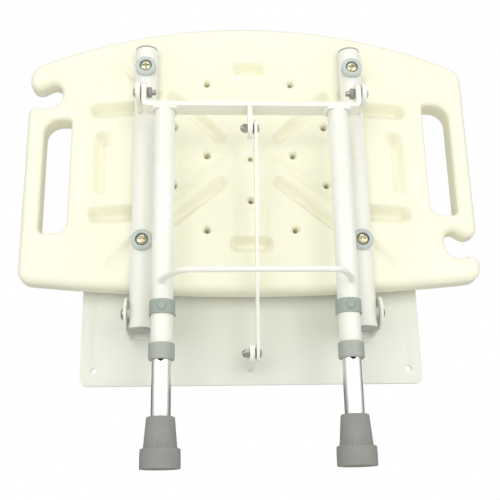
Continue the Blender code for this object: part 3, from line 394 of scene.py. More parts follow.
def let_light_in(tree):
    """Lets a little light travel through milky plastic."""
    fill(tree, tree.nodes["Principled BSDF"], Subsurface_Weight=0.5, Subsurface_Scale=0.010,
         Subsurface_Radius=(1.0, 0.9, 0.6))


def mottle(tree):
    """Lays a mottled grain, as from a textured tool, over the fine one."""
    shader = tree.nodes["Principled BSDF"]
    place = next(n for n in tree.nodes if n.type == "TEX_COORD").outputs["Object"]
    fine = shader.inputs["Normal"].links[0].from_socket
    coarse = add_node(tree, "Bump", Height=add_noise(tree, place, 520, 4, 0.7), Strength=0.5,
                      Distance=0.00025, Normal=fine)
    fill(tree, shader, Normal=coarse.outputs["Normal"])


# For each finish its colour, roughness, patches and grains to the metre, and the rest
METAL = {"metallic": 1.0, "height": 0.00001}
RECIPES = {
    "cream_plastic": ("cream", 0.42, 6, 700, {"tone": 0.012, "height": 0.00003}),
    "white_paint": ("white", 0.30, 14, 420, {"tone": 0.008, "height": 0.00003}),
    "plate_paint": ("plate", 0.38, 10, 420, {"tone": 0.015, "height": 0.00003}),
    "grey_plastic": ("grey", 0.34, 90, 1200, {"tone": 0.06}),
    "cup_plastic": ("cup", 0.34, 90, 1200, {}),
    "clip_plastic": ("clip", 0.46, 60, 1100, {"tone": 0.05, "height": 0.00008}),
    "grey_rubber": ("rubber", 0.62, 70, 1400, {"tone": 0.05, "height": 0.00006, "gloss_swing": 0.1,
                                               "specular": 0.35}),
    "bright_aluminium": ("aluminium", 0.32, 30, 600, {**METAL, "tone": 0.02, "height": 0.000006,
                                                      "stretch": (1, 1, 0.015), "gloss_swing": 0.12}),
    "zinc_steel": ("steel", 0.28, 160, 1500, {**METAL, "tone": 0.08, "gloss_swing": 0.14}),
    "brass": ("brass", 0.24, 220, 1500, {**METAL, "tone": 0.10, "gloss_swing": 0.12}),
    "screw_plating": ("plating", 0.20, 300, 1500, {**METAL, "tone": 0.12, "gloss_swing": 0.12}),
    "nylon": ("nylon", 0.45, 120, 1300, {}),
    "label_film": ("film", 0.28, 60, 500, {"tone": 0.01, "height": 0.00001}),
}
EXTRAS = {"cream_plastic": let_light_in, "clip_plastic": mottle}
LOOKS = {}


def look(name):
    """The finish of that name, made the first time it is asked for."""
    if name not in LOOKS:
        colour_name, roughness, patch, grain, rest = RECIPES[name]
        made = finish(name, getattr(colours(), colour_name), roughness, patch, grain, **rest)
        if name in EXTRAS:
            EXTRAS[name](made.node_tree)
        LOOKS[name] = made
    return LOOKS[name]


# What a user may change


def length(name, description, default, least, most):
    return FloatProperty(name=name, description=description, default=default, min=least, max=most,
                         unit="LENGTH")


def power(name, description, default):
    return FloatProperty(name=name, description=description, default=default, min=0, unit="POWER")


def colour(name, description, default):
    return FloatVectorProperty(name=name, description=description, default=default, min=0, max=1,
                               subtype="COLOR")


class SeatSizes(bpy.types.PropertyGroup):
    """Sizes of the finished pieces"""

    board_edge: length("Board edge", "Radius round the board's outline", 0.0086, 0.004, 0.0086)
    slot_round: length("Slot round", "Radius of the rims of the grip slots", 0.0055, 0.0005, 0.006)
    groove_depth: length("Groove depth", "Depth of the crossed grooves in the underside",
                         0.0080, 0.003, 0.015)
    recess_depth: length("Recess depth", "Depth of the long recesses in the underside",
                         0.0118, 0.004, 0.02)
    metal_edge: length("Metal edge", "Round on the edges of brackets, bars and plates",
                       0.0006, 0.0001, 0.001)
    tube_sides: IntProperty(name="Tube sides", description="Number of sides of each round tube",
                            default=72, min=24, max=128)


class SeatColours(bpy.types.PropertyGroup):
    """Colours of the finishes"""

    cream: colour("Board", "Moulded board", (0.915, 0.90, 0.735))
    white: colour("Frame", "Powder-coated tubes and bars", (0.875, 0.88, 0.80))
    plate: colour("Wall plate", "Powder-coated wall plate", (0.775, 0.79, 0.695))
    grey: colour("Collars and caps", "Grey plastic", (0.37, 0.395, 0.35))
    cup: colour("Screw cups", "Pale grey plastic", (0.55, 0.595, 0.575))
    clip: colour("Height clips", "Blue-grey plastic", (0.34, 0.395, 0.345))
    rubber: colour("Tips", "Grey rubber", (0.275, 0.28, 0.255))
    aluminium: colour("Leg extensions", "Drawn aluminium", (0.87, 0.87, 0.83))
    steel: colour("Bolts and nuts", "Zinc-plated steel", (0.36, 0.36, 0.33))
    brass: colour("Brass", "Blow-hole plug", (0.46, 0.45, 0.21))
    plating: colour("Seat screws", "Yellow-plated screws", (0.50, 0.47, 0.32))
    nylon: colour("Nylon", "Pivot bushes and washers", (0.78, 0.77, 0.70))
    film: colour("Label", "Blank film label", (0.88, 0.885, 0.84))


class StudioSettings(bpy.types.PropertyGroup):
    """Camera and lights"""

    lens: FloatProperty(name="Lens", description="Focal length on a 36 mm sensor", default=59.89, min=20,
                        max=200, unit="CAMERA")
    sides: power("Side lights", "Power of each of the two soft boxes beside the seat", 5.5)
    front: power("Front lights", "Power of each of the two soft boxes by the camera", 8.4)
    top: power("Top light", "Power of the soft light above", 6.5)
    ambient: FloatProperty(name="Ambient", description="Strength of the white surroundings", default=0.48,
                           min=0, max=2)


# The board


def dip(depth, across, steps=8):
    """Levels of a soft dent whose sides run out in the face around it and in its floor.

    Each level is (y, how far the outline has grown).
    """
    return [(UNDERSIDE + depth * (1 - math.cos(math.pi * i / steps)) / 2, across * (1 - 2 * i / steps))
            for i in range(steps + 1)]


def pocket(outline, center, levels, angle=0.0, lean=0.0):
    """A cutter for a moulded recess.

    The outline lies about zero, and each level stretches it to its own size. lean moves the levels to
    one side as they narrow, which makes that wall the steeper.
    """
    start = UNDERSIDE - 0.002
    obj = trace(laid(outline, 1, start))
    wide = max(x for x, _ in outline) - min(x for x, _ in outline)
    tall = max(z for _, z in outline) - min(z for _, z in outline)
    before, y = 0.0, start
    for level, grow in [(start, levels[0][1])] + levels:
        if level > y:
            extrude(Vector((0, level - y, 0)))
        bpy.ops.transform.resize(value=((wide + 2 * grow) / (wide + 2 * before), 1,
                                        (tall + 2 * grow) / (tall + 2 * before)),
                                 center_override=(0, level, -lean * before))
        bpy.ops.transform.translate(value=(0, 0, lean * (before - grow)))
        before, y = grow, level
    close_mesh(obj)
    obj.matrix_world = (Matrix.Translation((center[0], 0, center[1])) @ Matrix.Rotation(-angle, 4, "Y")
                        @ obj.matrix_world)
    return obj


def up(distance):
    """Height of a place on the board that lies this far from its rear edge."""
    return REAR + distance


def long_pocket(side, start, end, width, levels, lean=0.0):
    """A pocket with round ends between two places, each (x, distance from the rear edge)."""
    start, end = (Vector((x * side, up(distance))) for x, distance in (start, end))
    along = end - start
    return pocket(capsule(along.length + width, width), (start + end) / 2, levels,
                  math.atan2(along.y, along.x), lean)


def round_pocket(place, width, levels):
    return pocket(arc((0, 0), width / 2, 0, 345, 23), place, levels)


def block_pocket(reach, tall, radius, distance, levels):
    """A pocket with rounded corners on the board's middle line."""
    corners = [(x, z, radius) for x, z in rectangle((0, 0), reach, tall)]
    return pocket(rounded(corners), (0, up(distance)), levels)


def notch_corners(side):
    """The hose notch of one side, from its rear end to its front end."""
    rear = up(0.2180 if side < 0 else 0.0385)
    inner = 0.2130
    corners = ((0.25, 0.0070, 0.0100), (inner, -0.0072, 0.0163), (inner, 0.0385, 0.0100),
               (0.2370, 0.0240, 0.0094), (0.25, 0.0255, 0.0092))
    return [(x * side, rear + z, radius) for x, z, radius in corners]


def board_outline():
    half, tall = 0.25, 0.324
    front_arc, rear_arc = 0.595, 2.35
    spread = math.degrees(math.asin(half / front_arc))
    bow = math.degrees(math.asin(half / rear_arc))
    front = arc((0, REAR + tall - front_arc), front_arc, 90 - spread, 90 + spread, 28)
    rear = arc((0, REAR + rear_arc), rear_arc, 270 - bow, 270 + bow, 10)
    front_edge = [(x, z, 0) for x, z in front]
    rear_edge = [(x, z, 0) for x, z in rear]
    for index in (0, -1):
        front_edge[index] = (*front[index], 0.022)
        rear_edge[index] = (*rear[index], 0.0145)
    return rounded(front_edge + notch_corners(-1)[::-1] + rear_edge + notch_corners(1), 9)


def drains():
    """The round drain holes: a wide bowl, a narrow throat and a soft edge at the sitting face."""
    levels = ((0, 0.0036), (0.0004, 0.0031), (0.0011, 0.0024), (0.0021, 0.0017), (0.0034, 0.0011),
              (0.0052, 0.0007), (0.0080, 0.0003), (0.0120, 0), (0.0275, -0.0002), (0.0294, 0),
              (0.0300, 0.0005), (0.0320, 0.0005))
    first = 0.1045
    funnel = round_pocket((0, up(first)), 0.0044, [(UNDERSIDE + deep, grow) for deep, grow in levels])
    holes = [funnel]
    for x, distance in ((0.0483, 0.0700), (0.0483, 0.1585), (0.0483, 0.2485), (0.0848, 0.1225),
                        (0.0848, 0.1935)):
        for side in SIDES.values():
            hole = copy_of(funnel)
            hole.matrix_world = Matrix.Translation((x * side, 0, distance - first)) @ funnel.matrix_world
            holes.append(hole)
    return holes


def grip_slot(side):
    """A slot through the board, with a rounded rim on each face."""
    inner, outer = 0.2005, 0.2308
    bottom = up(0.0675 if side < 0 else 0.0880)
    top = bottom + 0.136
    corners = [(inner, bottom, 0.0136), (outer, bottom, 0.0060), (outer, top, 0.0182),
               (inner, top, 0.0045)]
    outline = [(x * side, z) for x, z in rounded(corners, 8)]
    xs, zs = [x for x, _ in outline], [z for _, z in outline]
    center = ((min(xs) + max(xs)) / 2, (min(zs) + max(zs)) / 2)
    rim = sizes().slot_round
    back = rim * 0.8
    levels = oval((UNDERSIDE + rim, rim), (-rim, -rim), 0, 90, 8)
    levels += arc((SITTING_FACE - back, back), back, -90, 0, 8) + [(SITTING_FACE + 0.002, back)]
    return [pocket([(x - center[0], z - center[1]) for x, z in outline], center, levels)]


def side_recesses(side):
    """One side's two lying recesses, its round one and its upright one."""
    depth = sizes().recess_depth
    return [long_pocket(side, (0.1170, 0.0905), (0.1690, 0.0872), 0.0128, dip(depth, 0.0056, 12)),
            long_pocket(side, (0.1170, 0.2175), (0.1710, 0.2130), 0.0119, dip(depth, 0.0052, 12)),
            round_pocket((0.1645 * side, up(0.1775)), 0.0138, dip(depth * 0.95, 0.0062, 12)),
            long_pocket(side, (0.1672, 0.1190), (0.1672, 0.1700), 0.0100, dip(depth * 0.8, 0.0046))]


def cross_channels(side):
    """One side of the moulded cross: two grooves, steep on one side, a valley and two fading tails."""
    groove, lean = dip(sizes().groove_depth, 0.0046, 12), -0.22 * side
    return [long_pocket(side, (0.0330, 0.1800), (0.0865, 0.2305), 0.0098, groove, lean),
            long_pocket(side, (0.0325, 0.1250), (0.0960, 0.0720), 0.0098, groove, lean),
            long_pocket(side, (0.0300, 0.1510), (0.1040, 0.1000), 0.0086, dip(0.0028, 0.0042)),
            long_pocket(side, (0.1180, 0.0660), (0.1500, 0.0320), 0.0105, dip(0.0030, 0.0048)),
            long_pocket(side, (0.1080, 0.2340), (0.1450, 0.2710), 0.0100, dip(0.0030, 0.0046))]


def middle_recesses():
    """The two recesses on the middle line, a shallow panel and the blow hole."""
    wall = dip(sizes().recess_depth, 0.0048, 12)
    return [block_pocket(0.0203, 0.0064, 0.0056, 0.0537, wall),
            block_pocket(0.0162, 0.0052, 0.0044, 0.2685, wall),
            block_pocket(0.0187, 0.0154, 0.0040, 0.0784, dip(0.0006, 0.0006, 4)),
            bar(0.00275, 0.012, (0, UNDERSIDE, up(0.1533)), "+Y")]


def tube_seat(side):
    """The channel in which a seat tube beds, closed at the tube's front end."""
    top, long = high("tube_plug_upper_left").z + 0.0008, 0.4
    place = (middle("seat_tube_right").x * side, SEAT_PIVOT.y, top - long / 2)
    return [bar(SADDLE, long, place, sides=48)]


class SHOWERSEAT_OT_board(bpy.types.Operator):
    """Mould the seat board with its slots, notches, grooves, recesses and drain holes"""

    bl_idname = "shower_seat.board"
    bl_label = "Seat board"

    def execute(self, context):
        board = slab(board_outline(), 1, UNDERSIDE, SITTING_FACE - UNDERSIDE)
        round_edges(board, sizes().board_edge, 8, 60, False)
        cutters = drains() + middle_recesses()
        for make in (grip_slot, side_recesses, cross_channels, tube_seat):
            cutters += [cutter for side in SIDES.values() for cutter in make(side)]
        carve(board, cutters)
        piece(board, "moulded_board", "seat", "cream_plastic", "seat_board", degrees=30)
        modify(board, "WEIGHTED_NORMAL", mode="FACE_AREA", weight=100, keep_sharp=True)
        return {"FINISHED"}


# Tubes, caps and what sits on them


def hollow_tube(node, radius, wall):
    """An upright drawn tube with cleaned-off ends, as long as its node."""
    deselect()
    bpy.ops.mesh.primitive_cylinder_add(vertices=sizes().tube_sides, radius=radius, depth=extent(node).z,
                                        end_fill_type="NOTHING")
    obj = stand(bpy.context.object, middle(node))
    modify(obj, "SOLIDIFY", thickness=wall, offset=-1, use_even_offset=True)
    return round_edges(obj, 0.0003, 2, 60)


class SHOWERSEAT_OT_seat_tubes(bpy.types.Operator):
    """Draw the two seat tubes and press a cap into each end"""

    bl_idname = "shower_seat.seat_tubes"
    bl_label = "Seat tubes and caps"

    def execute(self, context):
        for name, node in both("seat_tube"):
            piece(hollow_tube(node, SEAT_TUBE, 0.0015), f"seat_rail_{name}", "seat", "white_paint", node)
        profile = [(0, 0.0006), (0.0095, 0.0006), (0.0103, 0.0002), (0.0108, 0), (0.0119, 0.0001),
                   (0.0125, 0.0005), (SEAT_TUBE, 0.0011), (SEAT_TUBE, 0.0020), (0.0109, 0.0020),
                   (0.0109, 0.0080), (0, 0.0080)]
        for name in SIDES:
            for level, corner, axis in (("lower", low, "+Z"), ("upper", high, "-Z")):
                node = f"tube_plug_{level}_{name}"
                cap = stand(lathe(profile), on_line(node, corner(node).z), axis)
                piece(cap, f"end_cap_{level}_{name}", "seat", "grey_plastic", node)
        return {"FINISHED"}


class SHOWERSEAT_OT_seat_fixings(bpy.types.Operator):
    """Set the cups and screws that hold the board to its tubes"""

    bl_idname = "shower_seat.seat_fixings"
    bl_label = "Cups and screws"

    def execute(self, context):
        cup, screw = self.cup("cup_washer_lower_left"), self.screw("seat_screw_lower_left")
        models = ((cup, "screw_cup", "cup_plastic", "grey_plastic", "cup_washer"),
                  (screw, "cross_screw", "screw_plating", "brass", "seat_screw"))
        for name in SIDES:
            for level in ("lower", "upper"):
                at = middle(f"cup_washer_{level}_{name}")
                for model, title, coat, slot, node in models:
                    made = copy_of(model)
                    made.matrix_world = Matrix.Translation((at.x, 0, at.z))
                    piece(made, f"{title}_{level}_{name}", "seat", coat, f"{node}_{level}_{name}",
                          slot=slot)
        for model in (cup, screw):
            bpy.data.objects.remove(model, do_unlink=True)
        return {"FINISHED"}

    def cup(self, node):
        """A stepped ring whose back is hollowed to bed on the tube."""
        front, tall = low(node).y, extent(node).y
        cup = lathe([(0.0028, 0.0038), (0.0067, 0.0038), (0.0069, 0.0010), (0.0071, 0.0003), (0.0076, 0),
                     (0.0089, 0), (0.0095, 0.0002), (0.0099, 0.0007), (0.0108, 0.0009), (0.0114, 0.0013),
                     (0.0117, 0.0020), (0.0118, 0.0034), (0.0118, tall), (0.0028, tall),
                     (0.0028, 0.0038)])
        stand(cup, (0, front, 0), "+Y")
        return carve(cup, [bar(SADDLE, 0.05, (0, SEAT_PIVOT.y, 0), sides=48)])

    def screw(self, node):
        """A domed screw with a cross recess and a plain shank."""
        front, long = low(node).y, extent(node).y
        head, shank = 0.0062, 0.0025
        profile = dome(head, 0.0024, 9) + [(head, 0.0033), (0.0060, 0.0034), (shank, 0.0034),
                                           (shank, long - 0.001), (0.0018, long), (0, long)]
        screw = stand(lathe(profile), (0, front, 0), "+Y")
        deep, wide, across = 0.0024, 0.00075, 0.0033
        carve(screw, [slab(rectangle((0, 0), *arms), 1, front - deep, 2 * deep)
                      for arms in ((wide, across), (across, wide))])
        return round_edges(screw, 0.00015, 1, 50)


# Folded and cut plate


def plate_piece(obj, name, body, node, edge=1.0, coat="white_paint"):
    """Rounds the edges of a folded or cut plate, and coats and hangs it."""
    round_edges(obj, sizes().metal_edge * edge, 3)
    piece(obj, name, body, coat, node)


def link_ear(outline, x, thick, *pivots):
    """A flat ear or bar with a hole for each of the link's bolts that goes through it."""
    return drill(ear(outline, x, thick), LINK_BORE, 0.02, [(x, *pivot) for pivot in pivots], "+X")


class SHOWERSEAT_OT_wall_plate(bpy.types.Operator):
    """Cut the wall plate, round its corners and drill its four holes"""

    bl_idname = "shower_seat.wall_plate"
    bl_label = "Wall plate"

    def execute(self, context):
        node, corner, bore, across, upright = "wall_plate", 0.008, 0.00325, 0.1695, 0.052
        size, at = extent(node), middle(node)
        deselect()
        bpy.ops.mesh.primitive_cube_add(size=1)
        plate = bpy.context.object
        bpy.ops.object.mode_set(mode="EDIT")
        bpy.ops.mesh.select_mode(type="EDGE")
        bpy.ops.transform.resize(value=size)
        bpy.ops.mesh.select_all(action="DESELECT")
        bpy.ops.object.mode_set(mode="OBJECT")
        for edge in plate.data.edges:
            first, second = (plate.data.vertices[index].co for index in edge.vertices)
            edge.select = abs(first.y - second.y) > size.y / 2
        bpy.ops.object.mode_set(mode="EDIT")
        bpy.ops.mesh.bevel(offset=corner, segments=8, affect="EDGES")
        close_mesh(plate)
        stand(plate, at)
        holes = [(x * across, at.y, z * upright) for x in (-1, 1) for z in (-1, 1)]
        drill(plate, bore, 0.02, holes, "+Y", 32)
        plate_piece(plate, "back_plate", "wall", node, 1.2, "plate_paint")
        return {"FINISHED"}


class SHOWERSEAT_OT_brackets(bpy.types.Operator):
    """Fold the two pivot brackets and cut the link's ear on the wall plate"""

    bl_idname = "shower_seat.brackets"
    bl_label = "Brackets"

    def execute(self, context):
        half = 0.018
        for name, node in both("pivot_bracket"):
            center, front, back = middle(node).x, low(node).y, high(node).y
            section = folded(extent(node).x / 2, back, front, 0.0025, 0.0045)
            bracket = slab([(x + center, y) for x, y in section], 2, -half, 2 * half)
            shape = ear(tongue(back + GAP, half, (SEAT_PIVOT.y, 0), 0.017, 32), center, 0.06)
            carve(bracket, [shape], "INTERSECT")
            drill(bracket, WALL_BORE, 0.06, [(center, SEAT_PIVOT.y, 0)], "+X")
            plate_piece(bracket, f"wall_bracket_{name}", "wall", node)
        side_view = tongue(-0.0043, 0.012, LINK_LOWER.yz, 0.010, 24)
        plate_piece(link_ear(side_view, -EAR / 2, EAR, LINK_LOWER.yz), "link_ear", "wall", "link_bracket")
        return {"FINISHED"}


class SHOWERSEAT_OT_pivot_tabs(bpy.types.Operator):
    """Cut the plates on the seat tubes that carry the leg frame"""

    bl_idname = "shower_seat.pivot_tabs"
    bl_label = "Leg frame tabs"

    def execute(self, context):
        y, z = LEG_PIVOT.yz
        foot = SEAT_PIVOT.y - 0.0064
        side_view = arc((y, z), 0.012, 90, 270, 24) + [(foot, z - 0.0075), (foot, z + 0.012)]
        for name, node in both("pivot_tab"):
            x = middle(node).x
            tab = ear(side_view, x, EAR)
            carve(tab, [bar(SADDLE, 0.1, on_line(f"seat_tube_{name}", z), sides=48),
                        bar(LEG_BORE, 0.02, (x, y, z), "+X")])
            plate_piece(tab, f"leg_tab_{name}", "seat", node)
        return {"FINISHED"}


# Bolts, nuts and washers


def domed_bolt(node, axis, head_radius, head_height, shank):
    """A domed bolt as long as its node, with its head at the end away from axis."""
    long = extent(node).x
    profile = dome(head_radius, head_height * 0.68, 10)
    profile += [(head_radius, head_height - 0.0001), (head_radius - 0.0001, head_height),
                (shank, head_height), (shank, long - shank * 0.25), (shank * 0.78, long), (0, long)]
    start = low(node).x if axis == "+X" else high(node).x
    return stand(lathe(profile, 40), (start, middle(node).y, middle(node).z), axis)


def hexagon(flats, thick, chamfer):
    """A hexagon whose corners are turned off at both ends."""
    radius, half, rim = flats / math.sqrt(3), thick / 2, flats * 0.49
    wide = radius * 1.02
    crown = lathe([(0, -half), (rim, -half), (wide, -half + chamfer), (wide, half - chamfer), (rim, half),
                   (0, half)], 48)
    return carve(bar(radius, thick, (0, 0, 0), sides=6), [crown], "INTERSECT")


def hex_nut(node, flats, bore):
    """A nut as thick as its node."""
    thick = extent(node).x
    nut = drill(hexagon(flats, thick, 0.0006), bore, thick * 2, [(0, 0, 0)], "+Z", 28)
    round_edges(nut, 0.00015, 1, 30)
    return stand(nut, middle(node), "+X")


def cap_nut(node):
    """A domed nut: a hexagon with a turned dome on its outer end."""
    flats, thick, rise = 0.0085, 0.0045, 0.0030
    half, radius = thick / 2, flats * 0.46
    profile = [(0, half - 0.0004), (radius, half - 0.0004)] + oval((0, half), (radius, rise), 0, 90, 9)
    nut = joined([hexagon(flats, thick, 0.0005), lathe(profile, 40)])
    return stand(nut, (high(node).x - half, middle(node).y, middle(node).z), "-X")


def flat_washer(node, radius, bore):
    """A washer with broken outer edges, as thick as its node."""
    half = extent(node).x / 2
    edge = half * 0.44
    ring = lathe([(bore, -half), (radius - edge, -half), (radius, -half + edge), (radius, half - edge),
                  (radius - edge, half), (bore, half), (bore, -half)], 48)
    return stand(ring, middle(node), "+X")


def fit(end, *rows):
    """Makes, coats and hangs the fixings of one end of a pivot."""
    for node, title, body, coat, make, *measures in rows:
        node = f"{node}_{end}"
        piece(make(node, *measures), f"{title}_{end}", body, coat, node)


class SHOWERSEAT_OT_pivots(bpy.types.Operator):
    """Turn the bolts, nuts and washers of all the pivots"""

    bl_idname = "shower_seat.pivots"
    bl_label = "Pivot bolts"

    def execute(self, context):
        steel, legs = "zinc_steel", "leg_frame"
        for name, inward in (("left", "+X"), ("right", "-X")):
            fit(name,
                ("wall_pivot_bolt", "wall_bolt", "wall", steel, domed_bolt, inward, 0.00625, 0.0042,
                 0.004),
                ("wall_pivot_nut", "wall_nut", "wall", steel, hex_nut, 0.013, WALL_BORE),
                ("leg_pivot_bolt", "leg_bolt", legs, steel, domed_bolt, inward, 0.0052, 0.0030, 0.003),
                ("leg_pivot_washer", "leg_washer", legs, "nylon", flat_washer, 0.0065, LEG_BORE),
                ("leg_pivot_nut", "leg_nut", legs, steel, hex_nut, 0.010, LEG_BORE))
        for level, body in (("lower", "wall"), ("upper", legs)):
            fit(level,
                ("link_bolt", "link_pin", body, steel, domed_bolt, "-X", 0.0045, 0.0024, 0.0025),
                ("link_washer", "link_spacer", body, "grey_plastic", flat_washer, 0.0055, LINK_BORE),
                ("link_nut", "link_cap_nut", body, steel, cap_nut))
        return {"FINISHED"}


# Leg frame


class SHOWERSEAT_OT_leg_frame(bpy.types.Operator):
    """Bend the crossbar, and cut the link's tab and the two leg tubes"""

    bl_idname = "shower_seat.leg_frame"
    bl_label = "Leg frame"

    def execute(self, context):
        self.crossbar("crossbar")
        y, z = LINK_UPPER.yz
        radius, top = extent("link_tab").y / 2, high("link_tab").z
        side_view = arc((y, z), radius, 180, 360, 24) + [(y + radius, top), (y - radius, top)]
        plate_piece(link_ear(side_view, -EAR / 2, EAR, (y, z)), "link_top_ear", "leg_frame", "link_tab")
        for name, node in both("leg_tube"):
            tube = hollow_tube(node, LEG_TUBE, 0.0012)
            drill(tube, PIN_BORE, 0.012, [(middle(node).x, low(node).y, PIN_LEVEL)], "+Y")
            piece(tube, f"leg_{name}", "leg_frame", "white_paint", node)
            self.weld(name, node)
        return {"FINISHED"}

    def crossbar(self, node):
        """A bar with its ends folded up, rounded round the leg frame's pivot."""
        y, z = LEG_PIVOT.yz
        first, last, reach, depth = low(node), high(node), extent(node).x / 2, extent(node).y
        crossbar = slab(folded(reach, first.z, last.z, EAR, 0.007), 1, first.y, depth)
        side_view = arc((y, z), depth / 2, 0, 180, 28)
        side_view += [(y - depth / 2, first.z - 0.002), (y + depth / 2, first.z - 0.002)]
        carve(crossbar, [ear(side_view, 0, 2 * reach + 0.01)], "INTERSECT")
        drill(crossbar, LEG_BORE, 0.3, [(0, y, z)], "+X")
        plate_piece(crossbar, "leg_crossbar", "leg_frame", node, 1.3)

    def weld(self, name, node):
        """The bead of weld and paint where a leg meets the crossbar, no deeper than the bar."""
        top = high(node).z + GAP
        bead = lathe([(0.0105, 0), (0.0160, 0), (0.0159, -0.0010), (0.0154, -0.0019), (0.0144, -0.0026),
                      (0.0132, -0.0028), (0.0121, -0.0025), (0.0114, -0.0020), (0.0105, -0.0020),
                      (0.0105, 0)])
        stand(bead, on_line(node, top))
        band = slab(rectangle(middle(node).xy, 0.02, 0.0107), 2, top - 0.01, 0.02)
        carve(bead, [band], "INTERSECT")
        piece(bead, f"leg_weld_{name}", "leg_frame", "white_paint", degrees=60)


class SHOWERSEAT_OT_handle(bpy.types.Operator):
    """Bend the grip rod between the legs and weld its ends"""

    bl_idname = "shower_seat.handle"
    bl_label = "Grip rod"

    def execute(self, context):
        radius, z = 0.003, middle("handle").z
        legs, grip = low("leg_tube_left").y, low("handle").y + radius
        roots = (-0.0932, 0.0960)
        path = [(roots[0], legs - 0.0008), (-0.0870, legs - 0.0150), (-0.0660, grip),
                (0.0725, grip), (0.0912, legs - 0.0150), (roots[1], legs - 0.0008)]
        deselect()
        bpy.ops.curve.primitive_bezier_curve_add()
        rod = bpy.context.object
        rod.matrix_world = Matrix.Identity(4)
        curve = rod.data
        curve.splines.clear()
        points = curve.splines.new("BEZIER").bezier_points
        points.add(len(path) - 1)
        for point, (x, y) in zip(points, path):
            point.co = (x, y, z)
            point.handle_left_type = point.handle_right_type = "AUTO"
        for point, left, right in ((points[2], -0.0105, 0.0095), (points[3], -0.0095, 0.0105)):
            point.handle_left_type = point.handle_right_type = "FREE"
            point.handle_left = point.co + Vector((left, 0, 0))
            point.handle_right = point.co + Vector((right, 0, 0))
        curve.dimensions = "3D"
        curve.resolution_u = 14
        curve.bevel_depth = radius
        curve.bevel_resolution = 6
        curve.use_fill_caps = True
        pick(rod)
        bpy.ops.object.convert(target="MESH")
        bpy.ops.object.mode_set(mode="EDIT")
        parts = [close_mesh(bpy.context.object)]
        profile = [(0, 0.0016), (0.0016, 0.0015), (0.0030, 0.0010), (0.0039, 0.0002), (0.0044, -0.0008),
                   (0, -0.0008)]
        parts += [stand(lathe(profile, 28), (root, legs - 0.0004, z), "-Y") for root in roots]
        piece(joined(parts), "grip_rod", "leg_frame", "white_paint", "handle", degrees=50)
        return {"FINISHED"}


class SHOWERSEAT_OT_link(bpy.types.Operator):
    """Cut the flat link that keeps the leg frame upright"""

    bl_idname = "shower_seat.link"
    bl_label = "Centre link"

    def execute(self, context):
        node, radius = "link_bar", 0.009
        start, end = LINK_LOWER.yz, LINK_UPPER.yz
        along = end - start
        turn = math.degrees(math.atan2(along.y, along.x))
        side_view = arc(end, radius, turn - 90, turn + 90, 20)
        side_view += arc(start, radius, turn + 90, turn + 270, 20)
        strip = link_ear(side_view, middle(node).x, extent(node).x, start, end)
        plate_piece(strip, "link_strip", "link", node)
        return {"FINISHED"}


# Height adjustment


class SHOWERSEAT_OT_leg_bushes(bpy.types.Operator):
    """Turn the collars at the lower ends of the legs"""

    bl_idname = "shower_seat.leg_bushes"
    bl_label = "Leg collars"

    def execute(self, context):
        bore, throat, lip = 0.0114, 0.0098, 0.0027
        for name, node in both("leg_bush"):
            outer, tall = extent(node).x / 2, extent(node).z
            profile = [(bore, tall), (outer - 0.0008, tall), (outer - 0.0002, tall - 0.0003),
                       (outer, tall - 0.0010), (outer, 0.0016)]
            profile += oval((outer - 0.0012, 0.0014), (0.0012, -0.0014), 15, 90, 5)
            profile += [(0.0100, 0), (throat, 0.0003), (throat, lip), (bore, lip), (bore, tall)]
            collar = stand(lathe(profile), on_line(node, low(node).z))
            piece(collar, f"leg_collar_{name}", "leg_frame", "grey_plastic", node)
        return {"FINISHED"}


def clip_band(center, outer, reach, bottom, tall):
    """A C-shaped band round the front of a leg."""
    (x, y), inner = center, 0.0114
    outline = arc((x, y), outer, 180, 360, 40) + [(x + outer, y + reach), (x + inner, y + reach)]
    outline += arc((x, y), inner, 360, 180, 40) + [(x - inner, y + reach), (x - outer, y + reach)]
    return slab(outline, 2, bottom, tall)


class SHOWERSEAT_OT_height_clips(bpy.types.Operator):
    """Mould the spring clips whose pins set the height of the legs"""

    bl_idname = "shower_seat.height_clips"
    bl_label = "Height clips"

    def execute(self, context):
        for name, node in both("height_clip"):
            first, last, mid = low(node), high(node), middle(node).z
            x, y = middle(f"leg_tube_{name}").xy
            outer, tall, proud = (last.x - first.x) / 2, last.z - first.z, 0.0004
            band = round_edges(clip_band((x, y), outer - proud, last.y - y, first.z, tall), 0.0004)
            lip = round_edges(clip_band((x, y), outer, last.y - y, first.z + 0.0001, 0.0016), 0.0005)
            front = y - outer + proud
            reach = front - first.y
            boss = lathe([(0, -0.0006), (0.0048, -0.0006), (0.0047, 0.0001), (0.0044, reach * 0.32),
                          (0.0038, reach * 0.60), (0.0030, reach * 0.80), (0.0020, reach * 0.93),
                          (0.0010, reach * 0.99), (0, reach)], 36)
            stand(boss, (x, front, mid), "-Y")
            pin = round_edges(bar(0.003, 0.0095, (x, y - 0.0079, mid), "+Y", 32), 0.0005)
            clip = joined([band, lip, boss, pin])
            piece(clip, f"spring_clip_{name}", f"{name}_height_clip", "clip_plastic", node, degrees=45)
        return {"FINISHED"}


